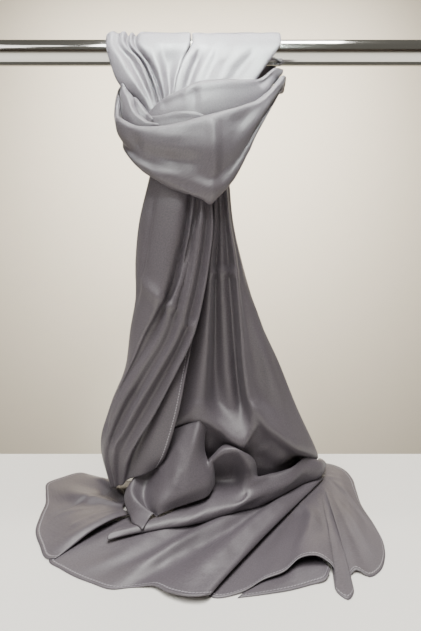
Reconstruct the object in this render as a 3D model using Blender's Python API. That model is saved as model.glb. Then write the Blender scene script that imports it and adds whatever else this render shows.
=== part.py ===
"""An evening stole, doubled and looped round a plain rail, with both tails hanging to a counter.

Frame: millimetres in the tables, metres in the scene. X runs along the rail to the right,
Y points away from the viewer, Z is up. The origin is on the rail's axis, above the knot.
"""

import math

import bpy
import numpy as np
from mathutils import Vector
from mathutils.bvhtree import BVHTree

MM = 0.001

# Driving sizes, in millimetres.
RAIL_RADIUS = 12.5
RAIL_LENGTH = 560.0
RAIL_SIDES = 64
RAIL_EDGE = 1.0
CLOTH_WALL = 1.2
SEAT_GAP = 0.3
COUNTER_LEVEL = -500.0

# The gap along a seam line where one stretch of cloth goes on in the next.
SEAM_GAP = 0.6

# How far one layer looks for the layer beneath it, and the steepest slope that it allows for.
LAYER_REACH = 9.0
LAYER_SLOPE = 0.4

# The directions in which a layer is moved off the one beneath it.
FORWARD = (0.0, -1.0, 0.0)
UPWARD = (0.0, 0.0, 1.0)

# Colours as linear RGB, with roughness and metallic values.
SATIN = ("grey satin", (0.155, 0.150, 0.165), 0.42, 0.0)
CHROME = ("polished chrome", (0.62, 0.62, 0.60), 0.08, 1.0)


# Smooth curves and nets

def through(values, at, where):
    """A smooth curve through values, which stand at the parameters `at`, read at `where`."""
    values = np.asarray(values, float)
    at = np.asarray(at, float)
    slope = np.empty_like(values)
    step = np.diff(at).reshape((-1,) + (1,) * (values.ndim - 1))
    chord = np.diff(values, axis=0) / step
    slope[0], slope[-1] = chord[0], chord[-1]
    slope[1:-1] = (chord[:-1] * step[1:] + chord[1:] * step[:-1]) / (step[1:] + step[:-1])
    span = np.clip(np.searchsorted(at, where, side="right") - 1, 0, len(at) - 2)
    width = (at[span + 1] - at[span]).reshape((-1,) + (1,) * (values.ndim - 1))
    t = ((where - at[span]).reshape(width.shape)) / width
    rise, fall = t * t * (3 - 2 * t), (1 - t) ** 2 * (1 + 2 * t)
    return (values[span] * fall + values[span + 1] * rise
            + slope[span] * width * t * (1 - t) ** 2
            - slope[span + 1] * width * t * t * (1 - t))


def spacing(net):
    """Parameters for the rows of a net: the mean distance from each row to the next, added up."""
    gaps = np.linalg.norm(np.diff(net, axis=0), axis=2).mean(axis=1)
    return np.concatenate([[0.0], np.cumsum(np.maximum(gaps, 0.5))])


def divided(at, steps):
    """The parameters with each span cut into that many steps."""
    parts = [np.linspace(a, b, steps, endpoint=False) for a, b in zip(at[:-1], at[1:])]
    return np.concatenate(parts + [[at[-1]]])


def smooth_net(net, steps_along, steps_across):
    """A fine grid of points through a net of sections (rows) and folds (columns)."""
    net = np.asarray(net, float)
    along = spacing(net)
    grid = through(net, along, divided(along, steps_along))
    turned = grid.transpose(1, 0, 2)
    across = spacing(turned)
    return through(turned, across, divided(across, steps_across)).transpose(1, 0, 2)


def sheet_faces(rows, columns):
    """The four-sided faces of a grid of points."""
    return [
        (r * columns + c, r * columns + c + 1, (r + 1) * columns + c + 1, (r + 1) * columns + c)
        for r in range(rows - 1)
        for c in range(columns - 1)
    ]


def spread_to_neighbours(rise):
    """Each point takes the greatest rise among itself and the points beside it."""
    padded = np.pad(rise, 1, mode="edge")
    rows, columns = rise.shape
    shifts = [padded[r:r + rows, c:c + columns] for r in range(3) for c in range(3)]
    return np.maximum.reduce(shifts)


def laid_over(grid, under, way):
    """A grid moved one way, where it has to, so that it clears the sheets it lies on."""
    step = Vector(way)
    clear = CLOTH_WALL + SEAT_GAP
    for sheet in under:
        points = [Vector(p) for p in sheet.reshape(-1, 3)]
        tree = BVHTree.FromPolygons(points, sheet_faces(*sheet.shape[:2]))
        rise = np.zeros(grid.shape[:2])
        for place in np.ndindex(rise.shape):
            point = Vector(grid[place])
            hit, normal, _, _ = tree.ray_cast(point + step * LAYER_REACH, -step, 2 * LAYER_REACH)
            if hit is not None:
                slope = max(abs(normal.dot(step)), LAYER_SLOPE)
                rise[place] = max(0.0, (hit - point).dot(step) + clear / slope)
        grid = grid + spread_to_neighbours(rise)[:, :, None] * np.array(way)
    return grid


# Blender objects

def material(name, colour, roughness, metallic):
    """A plain Principled finish."""
    made = bpy.data.materials.new(name)
    made.use_nodes = True
    shader = made.node_tree.nodes["Principled BSDF"]
    shader.inputs["Base Color"].default_value = (*colour, 1.0)
    shader.inputs["Roughness"].default_value = roughness
    shader.inputs["Metallic"].default_value = metallic
    made.diffuse_color = (*colour, 1.0)
    return made


def add_object(name, mesh, finish):
    """Links an object for a mesh, with its own finish."""
    made = bpy.data.objects.new(name, mesh)
    bpy.context.scene.collection.objects.link(made)
    mesh.materials.append(material(name + " " + finish[0], *finish[1:]))
    return made


def cloth_wall(name, grid):
    """A closed wall of cloth, half its thickness to each side of a grid of points."""
    rows, columns = grid.shape[:2]
    points = [tuple(p * MM) for p in grid.reshape(-1, 3)]
    mesh = bpy.data.meshes.new(name)
    mesh.from_pydata(points, [], sheet_faces(rows, columns))
    mesh.shade_smooth()
    made = add_object(name, mesh, SATIN)
    wall = made.modifiers.new("cloth thickness", "SOLIDIFY")
    wall.thickness = CLOTH_WALL * MM
    wall.offset = 0.0
    return made


# The rail

def rail():
    """A closed bar along X with its edges just broken."""
    bpy.ops.mesh.primitive_cylinder_add(
        vertices=RAIL_SIDES, radius=RAIL_RADIUS * MM, depth=RAIL_LENGTH * MM,
        rotation=(0.0, math.pi / 2, 0.0))
    made = bpy.context.object
    made.name = "rail"
    made.data.name = "rail"
    bpy.ops.object.transform_apply(location=False, rotation=True, scale=False)
    made.data.materials.append(material("rail " + CHROME[0], *CHROME[1:]))
    edge = made.modifiers.new("broken edge", "BEVEL")
    edge.width = RAIL_EDGE * MM
    edge.segments = 1
    edge.limit_method = "ANGLE"
    made.data.shade_smooth()
    made.data.set_sharp_from_angle(angle=math.radians(40))
    return made


# The two legs: each rises from the throat, passes over the rail and comes down behind it

# The middle of a leg's path where a fold has no height: depth (y) and level (z) at each station.
LEG_SEAT = RAIL_RADIUS + SEAT_GAP + CLOTH_WALL / 2
LEG_PATH = (
    # station, y, z
    ("throat end", -33.0, -104.0),
    ("throat", -29.0, -80.0),
    ("low front", -24.5, -62.0),
    ("mid front", -20.0, -44.0),
    ("high front", -15.5, -20.0),
    ("rail front", -LEG_SEAT, 2.0),
    ("rail brow", -LEG_SEAT * math.cos(math.radians(45)), LEG_SEAT * math.sin(math.radians(45))),
    ("rail top", 0.0, LEG_SEAT),
    ("rail nape", LEG_SEAT * math.cos(math.radians(45)), LEG_SEAT * math.sin(math.radians(45))),
    ("rail back", LEG_SEAT, 0.0),
    ("back end", 15.5, -24.0),
)

# One row for each fold, from left to right. Its place along the rail (x) at the throat end,
# throat, low, mid and high front, rail front, rail back and back end, then its height off the
# path at the throat, low on the front, high on the front and over the rail.
LEFT_LEG_FOLDS = (
    # name,          end, throat, low, mid, high, rail, back, foot, then the four heights
    ("tuck",         -46, -48, -55, -74, -86, -92, -92, -88, 0.5, 0.0, 0.5, 1.0),
    ("outer roll",   -49, -51, -60, -82, -93, -98, -98, -92, 2.0, 3.0, 5.0, 3.5),
    ("crown",        -45, -48, -55, -67, -81, -92, -92, -87, 3.5, 7.0, 12.0, 6.5),
    ("hollow",       -39, -44, -50, -58, -70, -86, -86, -81, 3.0, 6.0, 7.0, 4.5),
    ("inner roll",   -34, -40, -46, -52, -62, -80, -80, -76, 3.0, 6.0, 11.0, 6.5),
    ("first gap",    -30, -37, -43, -49, -59, -76, -76, -73, 2.0, 2.5, 1.5, 2.0),
    ("thin pleat",   -26, -35, -41, -46, -56, -72, -72, -69, 2.5, 4.5, 8.5, 5.5),
    ("second gap",   -22, -33, -38, -43, -53, -68, -68, -66, 1.5, 2.0, 1.5, 2.0),
    ("panel brow",   -18, -30, -36, -40, -49, -63, -63, -63, 2.0, 4.0, 7.5, 5.5),
    ("panel",        -14, -27, -34, -37, -42, -49, -49, -58, 2.5, 4.5, 8.0, 5.5),
    ("panel hollow", -10, -25, -31, -32, -32, -30, -30, -53, 1.5, 2.5, 3.5, 5.0),
    ("panel edge",   -6,  -22, -28, -26, -19, -10, -10, -47, 2.0, 4.0, 5.0, 4.5),
    ("panel return", -8,  -24, -30, -28, -21, -13, -13, -49, -1.0, -1.0, -0.5, 0.6),
)

RIGHT_LEG_FOLDS = (
    # name,          end, throat, low, mid, high, rail, back, foot, then the four heights
    ("tuck",         1,   -15, -21, -20, -13, -4,  -4,  54, 0.5, 0.5, 0.5, 1.0),
    ("inner edge",   -3,  -19, -27, -25, -18, -7.6, -7.6, 51, 2.5, 4.5, 8.0, 4.5),
    ("first ridge",  1,   -14, -20, -19, -12, 0,   0,   54, 3.0, 5.5, 8.0, 5.2),
    ("first hollow", 5,   -9,  -13, -12, -4,  8,   8,   58, 2.0, 4.0, 5.5, 4.5),
    ("second ridge", 9,   -4,  -6,  -4,  5,   18,  18,  62, 2.5, 5.0, 7.5, 5.0),
    ("broad face",   13,  2,   1,   5,   18,  33,  33,  69, 2.5, 5.0, 7.0, 5.0),
    ("broad ridge",  17,  9,   12,  20,  36,  52,  52,  76, 3.0, 6.5, 9.0, 5.5),
    ("faint hollow", 20,  14,  21,  32,  50,  66,  66,  82, 2.0, 5.0, 7.0, 5.0),
    ("outer ridge",  23,  19,  28,  42,  60,  75,  75,  86, 2.5, 5.5, 7.5, 5.5),
    ("outer edge",   28,  26,  37,  54,  71,  85,  85,  92, 1.5, 4.0, 6.0, 4.5),
    ("edge return",  24,  22,  32,  48,  66,  81,  81,  89, -1.0, 0.0, 0.5, 1.0),
)


def leg_net(folds):
    """The points of a leg: a section at each station of the path, a column for each fold.

    The throat end is level, so that the tail below it meets it edge to edge.
    """
    path = np.array([row[1:] for row in LEG_PATH])
    ahead = np.gradient(path, axis=0)
    ahead /= np.linalg.norm(ahead, axis=1)[:, None]
    outward = np.stack([-ahead[:, 1], ahead[:, 0]], axis=1)
    outward[0] = (-1.0, 0.0)
    net = np.zeros((len(path), len(folds), 3))
    for column, fold in enumerate(folds):
        end, throat, low, mid, high, front, back, foot = fold[1:9]
        at_throat, at_low, at_high, at_rail = fold[9:]
        across = (end, throat, low, mid, high, front, front, front, back, back, foot)
        height = (at_throat, at_throat, at_low, at_high, at_high,
                  at_rail, at_rail, at_rail, at_rail, at_rail, at_rail)
        for station, (x, rise) in enumerate(zip(across, height)):
            y, z = path[station] + outward[station] * rise
            net[station, column] = (x, y, z)
    return net


# The bands of the loop, which cross the front of the throat

# Each section of a band: its top edge (x, y, z), its bottom edge (x, y, z) and how far the
# cloth between them stands out.
OUTER_BAND = (
    # name,           top x, y, z,    bottom x, y, z,   bulge
    ("behind left",   -90, 19, -27,   -47, 19, -27,     1.0),
    ("left nape",     -92, 10, -34,   -66, 20, -40,     2.0),
    ("left side",     -89, -12, -48,  -83, 12, -66,     3.0),
    ("left turn",     -86, -34, -74,  -80, -6, -98,     4.5),
    ("left corner",   -79, -49, -83,  -73, -32, -113,   5.0),
    ("left front",    -61, -57, -92,  -60, -48, -130,   6.0),
    ("mid left",      -40, -61, -93,  -42, -56, -143,   5.5),
    ("middle",        -13, -63, -89,  -16, -60, -155,   5.5),
    ("crease left",   6,   -63, -84,  3, -61, -162,     6.0),
    ("crease",        14,  -62, -82,  11, -60, -167,    7.5),
    ("crease right",  22,  -60, -79,  19, -57, -160,    6.5),
    ("mid right",     40, -55, -73,   33, -51, -144,    5.5),
    ("right front",   63, -44, -61,   56, -42, -97,     5.0),
    ("right turn",    80, -30, -43,   75, -29, -62,     3.0),
    ("right tip",     91, -12, -28,   88, -13, -40,     1.5),
    ("right side",    93, 4, -29,     90, 6, -39,       1.5),
    ("behind right",  91, 20, -29,    55, 21, -30,      1.0),
)

# The inner bands also say how far their top edge is tucked in behind.
INNER_BAND = (
    # name,           top x, y, z,    bottom x, y, z,   bulge, tuck
    ("left tip",      -80, -6, -40,   -79, -8, -64,     0.5, 1),
    ("left back",     -69, -11, -52,  -69, -15, -76,    0.5, 1),
    ("left side",     -62, -22, -66,  -62, -27, -86,    0.5, 1),
    ("throat",        -55, -36, -74,  -55, -39, -92,    0.5, 2),
    ("left",          -37, -46, -63,  -38, -47, -100,   2.5, 3),
    ("mid left",      -17, -50, -55,  -17, -51, -106,   4.0, 4),
    ("crease",        -3, -51, -49,   -3, -52, -106,    4.5, 4),
    ("middle",        22, -48, -45,   20, -50, -104,    4.5, 4),
    ("mid right",     45, -40, -42,   42, -43, -92,     4.0, 4),
    ("right",         62, -32, -38,   59, -35, -70,     3.0, 3),
    ("right turn",    80, -19, -23,   77, -23, -41,     2.0, 2),
    ("right tip",     90, -3, -18,    89, -5, -23,      0.8, 1),
)

FIRST_FOLD = (
    ("left top",      -81, -25, -42,  -83, -24, -54,    1.0, 2),
    ("left side",     -77, -32, -50,  -81, -31, -68,    2.0, 4),
    ("left turn",     -71, -40, -60,  -77, -38, -82,    3.0, 6),
    ("hook",          -66, -47, -73,  -69, -45, -92,    2.5, 5),
    ("left front",    -52, -51, -86,  -55, -48, -102,   1.5, 2),
    ("end",           -40, -53, -90,  -41, -51, -101,   0.5, 2),
)

SECOND_FOLD = (
    ("top",           -67, -34, -57,  -71, -35, -72,    1.0, 3),
    ("upper",         -59, -41, -67,  -66, -42, -84,    2.0, 4),
    ("lower",         -51, -45, -78,  -57, -44, -93,    1.0, 3),
    ("foot",          -46, -47, -85,  -52, -45, -95,    0.5, 2),
)

CRESCENT = (
    ("left",          -50, -48, -80,  -50, -49, -96,    0.5, 1),
    ("mid left",      -38, -51, -80,  -38, -52, -106,   2.0, 1),
    ("middle",        -22, -54, -78,  -22, -55, -108,   2.0, 1),
    ("mid right",     -4, -56, -79,   -4, -56, -108,    2.0, 1),
    ("right",         12, -54, -85,   12, -55, -106,    1.0, 1),
)

# The profile of the outer band, which is folded double: its share of the way down, its stand-off
# as a share of the bulge, and millimetres inward. It starts inside the rolled top edge and ends
# under the lower one.
FOLDED_PROFILE = (
    (0.24, 0.0, 3.6),
    (0.08, 0.0, 3.2),
    (0.00, 0.0, 1.6),
    (0.02, 0.3, 0.0),
    (0.20, 0.8, 0.0),
    (0.45, 1.0, 0.0),
    (0.62, 0.7, 0.0),
    (0.72, 0.5, 0.0),
    (0.86, 0.9, 0.0),
    (0.98, 0.4, 0.0),
    (1.00, 0.0, 2.0),
    (0.93, 0.0, 4.5),
)

# The profile of an inner band: the third number is a share of the section's own tuck.
TUCKED_PROFILE = (
    (0.00, 0.0, 1.0),
    (0.00, 0.0, 0.4),
    (0.03, 0.4, 0.0),
    (0.22, 0.8, 0.0),
    (0.50, 1.0, 0.0),
    (0.78, 0.6, 0.0),
    (1.00, 0.0, 0.0),
)
TUCK_RISE = 0.3


def band_net(sections, profile):
    """The points of a band: a section at each row, a column for each point of the profile."""
    top = np.array([row[1:4] for row in sections], float)
    bottom = np.array([row[4:7] for row in sections], float)
    bulge = np.array([row[7] for row in sections], float)
    tucked = len(sections[0]) > 8
    tuck = np.array([row[-1] if tucked else 1.0 for row in sections], float)
    rise = TUCK_RISE if tucked else 0.0
    ahead = np.gradient((top + bottom) / 2, axis=0)
    outward = np.cross(bottom - top, ahead)
    outward /= np.linalg.norm(outward, axis=1)[:, None]
    net = np.zeros((len(sections), len(profile), 3))
    for column, (down, share, inward) in enumerate(profile):
        off = bulge * share - inward * tuck
        net[:, column] = top + (bottom - top) * down + outward * off[:, None]
        net[:, column, 2] += inward * tuck * rise
    return net


# The tails

# Each fold line of a tail runs from the throat to the counter. At the first levels the lines
# share one height; below them each line has heights of its own, given last in its row.
LEFT_TAIL_LEVELS = (-104.9, -140, -180, -225, -265, -300, -345, -390, -430)

LEFT_TAIL_FOLDS = (
    # name, x at each row, y at each row, z of the foot
    ("hem", (-12, -2, 4, 2, -2, -7, -15, -24, -36, -46),
     (-28, -30, -32.5, -34.6, -37, -42, -55, -60, -62, -58), (-448,)),
    ("flap", (-10, 0, 7, 5, 0, -9, -22, -38, -53, -62),
     (-30, -33, -36, -39, -40, -42, -51, -57, -60, -59), (-457,)),
    ("flap root", (-8, 3, 9, 6, 0, -10, -30, -51, -69, -78),
     (-33, -36, -40, -42, -43, -44, -48, -51, -53, -57), (-463,)),
    ("last pleat", (-10, 8, 14, 10, 3, -6, -27, -51, -75, -86),
     (-38, -47, -53, -55, -57, -58, -60, -62, -63, -58), (-470,)),
    ("valley", (-13, 3, 7, 2, -6, -16, -38, -63, -85, -91),
     (-35, -42, -47, -48, -50, -50, -52, -54, -57, -55), (-472,)),
    ("mid pleat", (-17, -1, 2, -4, -13, -23, -48, -75, -94, -94),
     (-38, -47, -54, -57, -60, -60, -61, -62, -61, -55), (-474,)),
    ("pleat cut", (-20, -5, -4, -12, -22, -32, -57, -84, -100, -97),
     (-35, -42, -47, -49, -52, -52, -52, -52, -54, -51), (-476,)),
    ("thin pleat", (-22, -8, -8, -17, -28, -40, -67, -92, -105, -100),
     (-37, -46, -52, -54, -57, -57, -57, -57, -55, -50), (-478,)),
    ("deep gap", (-25, -12, -13, -23, -35, -50, -77, -100, -109, -102),
     (-33, -40, -43, -44, -47, -48, -48, -48, -49, -46), (-480,)),
    ("broad edge", (-28, -16, -19, -29, -41, -57, -80, -102, -112, -103),
     (-36, -47, -53, -55, -57, -54, -50, -46, -44, -42), (-482,)),
    ("broad panel", (-34, -30, -36, -44, -52, -66, -83, -103, -113, -101),
     (-37, -46, -50, -52, -53, -48, -42, -38, -37, -37), (-485,)),
    ("shade line", (-40, -45, -52, -60, -67, -76, -85, -103, -114, -100),
     (-34, -38, -40, -40, -38, -34, -31, -30, -31, -32), (-488,)),
    ("side", (-46, -55, -66, -72, -73, -79, -86, -104, -114, -98),
     (-28, -26, -22, -20, -20, -20, -20, -20, -22, -24), (-489,)),
    ("back side", (-40, -49, -59, -64, -66, -70, -77, -92, -101, -88),
     (-18, -10, -4, 0, 0, 2, 4, 4, 2, -6), (-489,)),
    ("back", (-26, -30, -34, -36, -38, -42, -50, -60, -70, -72),
     (-16, -4, 4, 9, 9, 12, 15, 16, 14, 4), (-489,)),
    ("back edge", (-12, -10, -12, -12, -14, -16, -22, -30, -42, -54),
     (-14, -8, -4, 0, 0, 2, 4, 4, 4, 0), (-489,)),
)

RIGHT_TAIL_LEVELS = (-104.4, -140, -180, -225, -265, -300, -345)

RIGHT_TAIL_FOLDS = (
    # name, x at each row, y at each row, z of the last rows: above the buckle, crease, hollow, foot
    ("inner edge", (-2, -2, -3, -6, -12, -18, -27, -36, -43, -44, -42),
     (-18, -18, -20, -22, -23, -25, -31, -39, -44, -34, -32), (-385, -412, -424, -470)),
    ("inner fold", (4, 6, 6, 2, -3, -7, -13, -18, -22, -22, -20),
     (-22, -24, -26, -28, -29, -31, -36, -42, -46, -36, -34), (-379, -404, -416, -470)),
    ("left ridge", (10, 14, 16, 12, 10, 8, 5, 2, 0, 5, 4),
     (-35, -40, -41, -44, -44, -44, -46, -49, -52, -40, -36), (-370, -394, -427, -470)),
    ("left hollow", (13, 17, 20, 18, 17, 17, 17, 19, 23, 24, 22),
     (-27, -34, -34, -29, -25, -21, -20, -28, -50, -36, -32), (-382, -411, -437, -472)),
    ("middle ridge", (16, 20, 23, 24, 25, 27, 30, 37, 46, 40, 40),
     (-35, -37, -36, -34, -31, -28, -28, -34, -55, -37, -33), (-390, -425, -444, -474)),
    ("right hollow", (19, 23, 27, 31, 34, 37, 41, 46, 55, 56, 56),
     (-25, -32, -33, -29, -25, -22, -20, -26, -50, -38, -34), (-384, -414, -442, -476)),
    ("right ridge", (22, 27, 31, 38, 42, 45, 49, 54, 64, 70, 70),
     (-33, -37, -39, -42, -42, -42, -44, -46, -50, -37, -32), (-373, -398, -434, -474)),
    ("flank hollow", (25, 29, 33, 41, 47, 53, 62, 70, 82, 86, 86),
     (-22, -28, -32, -33, -31, -29, -27, -28, -44, -31, -27), (-380, -416, -448, -475)),
    ("flank ridge", (28, 31, 35, 44, 52, 61, 76, 88, 103, 102, 100),
     (-20, -25, -28, -29, -28, -28, -28, -27, -31, -18, -13), (-390, -437, -457, -478)),
    ("front side", (29, 32, 36, 46, 57, 69, 87, 104, 123, 119, 116),
     (-14, -18, -20, -20, -18, -17, -14, -13, -16, 2, 7), (-398, -453, -467, -483)),
    ("side", (28, 31, 35, 46, 58, 71, 93, 118, 149, 147, 145),
     (-8, -10, -10, -8, -6, -4, 0, 5, 15, 23, 26), (-404, -472, -482, -491)),
    ("back side", (24, 26, 29, 38, 49, 61, 82, 110, 140, 142, 142),
     (-3, -2, 0, 4, 8, 12, 18, 26, 37, 40, 41), (-402, -466, -482, -491)),
    ("back ridge", (17, 18, 19, 24, 32, 42, 58, 82, 108, 112, 113),
     (2, 4, 8, 14, 20, 26, 34, 42, 49, 50, 50), (-398, -448, -472, -493)),
    ("back hollow", (10, 9, 9, 10, 14, 20, 30, 46, 64, 68, 68),
     (-3, -2, 0, 4, 8, 11, 16, 22, 28, 30, 30), (-398, -448, -472, -493)),
    ("far ridge", (3, 0, -1, -2, -2, 2, 4, 12, 22, 25, 25),
     (1, 5, 8, 14, 20, 27, 33, 40, 46, 48, 48), (-398, -448, -472, -493)),
    ("back edge", (-4, -6, -6, -8, -9, -10, -10, -10, -8, -8, -8),
     (-4, 2, 8, 12, 16, 20, 22, 26, 30, 31, 31), (-398, -448, -472, -493)),
)


TAILS = {"tail_left": LEFT_TAIL_FOLDS, "tail_right": RIGHT_TAIL_FOLDS}
TAIL_STEPS = (1, 2)


def tail_net(folds, levels):
    """The points of a tail: a section at each row, a column for each fold line."""
    return np.array([list(zip(across, depth, levels + last)) for _, across, depth, last in folds],
                    float).transpose(1, 0, 2)


# The heap in front of the tails

# The standing lobe: sections from its hidden right side to the lip of the cup on the left.
LOBE = (
    # name, then x, y, z at the top, shoulder, middle, low and foot
    ("return", (9, -43.6, -404), (5, -50, -418), (6, -54, -436), (15, -58, -452), (16, -62, -467)),
    ("right edge", (0, -52, -397), (-5, -66, -418), (-3, -71, -436), (8, -76, -457), (7, -78, -472)),
    ("right face", (-9, -50, -401), (-14, -68, -424), (-14, -79, -443), (-8, -85, -461),
     (-8, -83, -475)),
    ("broad face", (-22, -47, -407), (-27, -62, -430), (-28, -80, -450), (-26, -90, -466),
     (-25, -88, -478)),
    ("left face", (-41, -46, -416), (-43, -56, -446), (-44, -76, -463), (-42, -91, -472),
     (-39, -94, -481)),
    ("cup", (-57, -44, -442), (-61, -53, -468), (-61, -67, -480), (-54, -83, -484),
     (-44, -94, -484)),
    ("lip", (-76, -55, -466), (-77, -63, -469), (-73, -73, -473), (-63, -83, -478),
     (-48, -95, -481)),
    ("outside", (-83, -54, -478), (-83, -64, -481), (-79, -76, -485), (-71, -88, -489),
     (-56, -101, -488)),
)

# The long roll: sections from the right corner to the tip on the left.
ROLL = (
    # name, then x, y, z at the back, outer shoulder, ridge, hollow, crest, face, foot and tuck
    ("corner", (158, 46, -492), (159, 43, -490), (161, 40, -489), (162, 37, -489), (163, 34, -489),
     (164, 31, -490), (163, 28, -492), (158, 34, -494)),
    ("shank", (151, 21, -486), (151, 16, -480), (151, 12, -477), (150, 8, -476), (150, 4, -477),
     (150, -1, -482), (147, -4, -491), (141, 5, -492)),
    ("right end", (135, 8, -480), (133, 3, -471), (131, -2, -466), (129, -6, -465),
     (128, -10, -467), (128, -17, -475), (124, -18, -491), (119, -8, -492)),
    ("right", (110, -16, -480), (109, -21, -473), (107, -26, -467), (106, -30, -466),
     (105, -34, -468), (102, -42, -477), (93, -44, -491), (90, -30, -492)),
    ("right bend", (85, -24, -484), (83, -32, -477), (82, -38, -468), (80, -43, -467),
     (78, -48, -469), (73, -59, -478), (63, -65, -491), (62, -52, -492)),
    ("nose side", (67, -38, -476), (63, -46, -464), (59, -54, -460), (57, -59, -464),
     (55, -64, -471), (51, -74, -479), (39, -77, -491), (40, -66, -492)),
    ("nose", (61, -43, -448), (57, -51, -442), (53, -61, -443), (50, -58, -462),
     (48, -66, -475), (41, -79, -481), (28, -83, -491), (30, -72, -492)),
    ("hook top", (46, -47, -438), (45, -56, -431), (41, -63, -428), (40, -45, -468),
     (38, -68, -477), (29, -83, -482), (15, -88, -491), (18, -76, -492)),
    ("hook", (29, -42, -433), (28, -50, -427), (26, -62, -429), (27, -43, -471),
     (26, -71, -477), (16, -88, -482), (3, -93, -491), (6, -80, -492)),
    ("hook left", (15, -42, -445), (14, -50, -439), (12, -61, -441), (13, -45, -471),
     (13, -74, -477), (3, -92, -482), (-9, -97, -491), (-6, -84, -492)),
    ("under lobe", (0, -42, -462), (-1, -50, -458), (-2, -58, -459), (-2, -56, -474),
     (-3, -76, -480), (-11, -95, -484), (-23, -101, -491), (-19, -88, -492)),
    ("left", (-26, -64, -488), (-27, -72, -485), (-28, -79, -483), (-28, -84, -483),
     (-29, -90, -483), (-34, -101, -485), (-43, -106, -491), (-38, -94, -492)),
    ("far left", (-51, -82, -491), (-52, -90, -488), (-53, -96, -487), (-54, -100, -486),
     (-55, -104, -486), (-60, -109, -488), (-65, -111, -491), (-62, -103, -492)),
    ("tip", (-78, -103, -491), (-80, -105, -489), (-82, -108, -488), (-84, -111, -488),
     (-86, -114, -488), (-89, -117, -489), (-88, -120, -491), (-84, -117, -492)),
)

# Panels spread on the counter. Each ray runs straight from a hidden root to the hem, and the
# middle of the cloth stands above the counter by its own height at each share of the way.
PANEL_SHARES = (0.0, 0.2, 0.4, 0.6, 0.75, 0.9, 1.0)

LEFT_PANEL = (
    # name,         root x, y,  hem x, y,   height at each share
    ("back tuck",   -66, -44,   -78, 0,     6.0, 6.0, 5.5, 4.0, 3.0, 1.5, 0.6),
    ("back",        -72, -45,   -98, 3,     6.0, 6.5, 6.0, 4.5, 3.0, 1.5, 0.6),
    ("back bay",    -77, -46,   -121, 8,    5.5, 6.5, 7.0, 5.5, 3.5, 1.5, 0.6),
    ("back ridge",  -81, -48,   -143, 17,   5.0, 6.0, 8.0, 7.5, 5.0, 2.0, 0.6),
    ("back corner", -83, -50,   -159, 23,   4.5, 4.5, 5.0, 5.0, 3.5, 1.5, 0.6),
    ("left corner", -84, -52,   -179, 11,   4.5, 4.0, 3.5, 3.0, 2.0, 1.0, 0.6),
    ("left tip",    -85, -54,   -192, -2,   5.0, 5.5, 5.5, 4.5, 2.5, 1.0, 0.6),
    ("left ridge",  -86, -57,   -186, -24,  5.5, 7.5, 8.5, 6.5, 3.5, 1.5, 0.6),
    ("left hollow", -86, -60,   -178, -45,  5.0, 5.0, 4.5, 3.5, 2.0, 1.0, 0.6),
    ("left face",   -85, -63,   -174, -72,  5.0, 6.0, 6.5, 6.0, 4.0, 1.5, 0.6),
    ("left swell",  -84, -66,   -169, -95,  5.5, 8.0, 9.0, 7.5, 4.5, 1.5, 0.6),
    ("front swell", -82, -69,   -156, -117, 6.0, 9.5, 10.5, 9.0, 6.0, 2.5, 0.6),
    ("fold ridge",  -78, -72,   -141, -136, 7.0, 12.0, 13.0, 11.5, 8.0, 3.5, 0.6),
    ("fold lip",    -74, -74,   -133, -137, 5.5, 10.0, 11.0, 9.5, 6.5, 3.5, 1.2),
)

FRONT_PANEL = (
    ("under tails", 126, 30,    -126, -102, 4.0, 4.5, 4.5, 4.5, 4.0, 2.0, 1.2),
    ("under ridge", 127, 27,    -136, -121, 4.5, 5.0, 5.0, 5.0, 4.5, 2.5, 0.6),
    ("left swell",  129, 24,    -139, -138, 5.0, 6.5, 7.0, 7.5, 7.0, 3.5, 0.6),
    ("left hollow", 131, 21,    -125, -148, 4.5, 5.0, 5.5, 6.0, 5.5, 3.0, 0.6),
    ("first ridge", 133, 18,    -108, -158, 4.5, 5.5, 7.0, 10.0, 9.5, 4.5, 0.6),
    ("long hollow", 135, 16,    -92, -165,  4.5, 5.0, 5.0, 5.5, 4.0, 2.0, 0.6),
    ("broad ridge", 137, 14,    -73, -172,  5.0, 6.0, 7.0, 11.5, 11.5, 5.5, 0.6),
    ("bay",         139, 12,    -55, -170,  5.0, 6.0, 6.5, 8.0, 7.5, 3.5, 0.8),
    ("dip",         141, 10,    -38, -171,  6.0, 6.0, 5.5, 5.0, 5.0, 4.5, 3.5),
    ("last ridge",  144, 8,     -24, -180,  6.5, 8.0, 11.0, 13.5, 12.5, 9.0, 5.0),
    ("last face",   147, 6,     -8, -186,   6.5, 8.5, 11.5, 13.5, 12.5, 9.5, 6.5),
    ("layer edge",  151, 3,     8, -185,    6.6, 7.4, 8.6, 9.7, 9.2, 8.0, 6.6),
    ("layer turn",  153, 2,     11, -182,   5.0, 5.6, 6.8, 7.6, 7.2, 6.2, 4.6),
    ("layer lip",   146, 8,     5, -169,    3.4, 3.8, 4.2, 4.6, 4.2, 3.2, 2.1),
)

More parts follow.
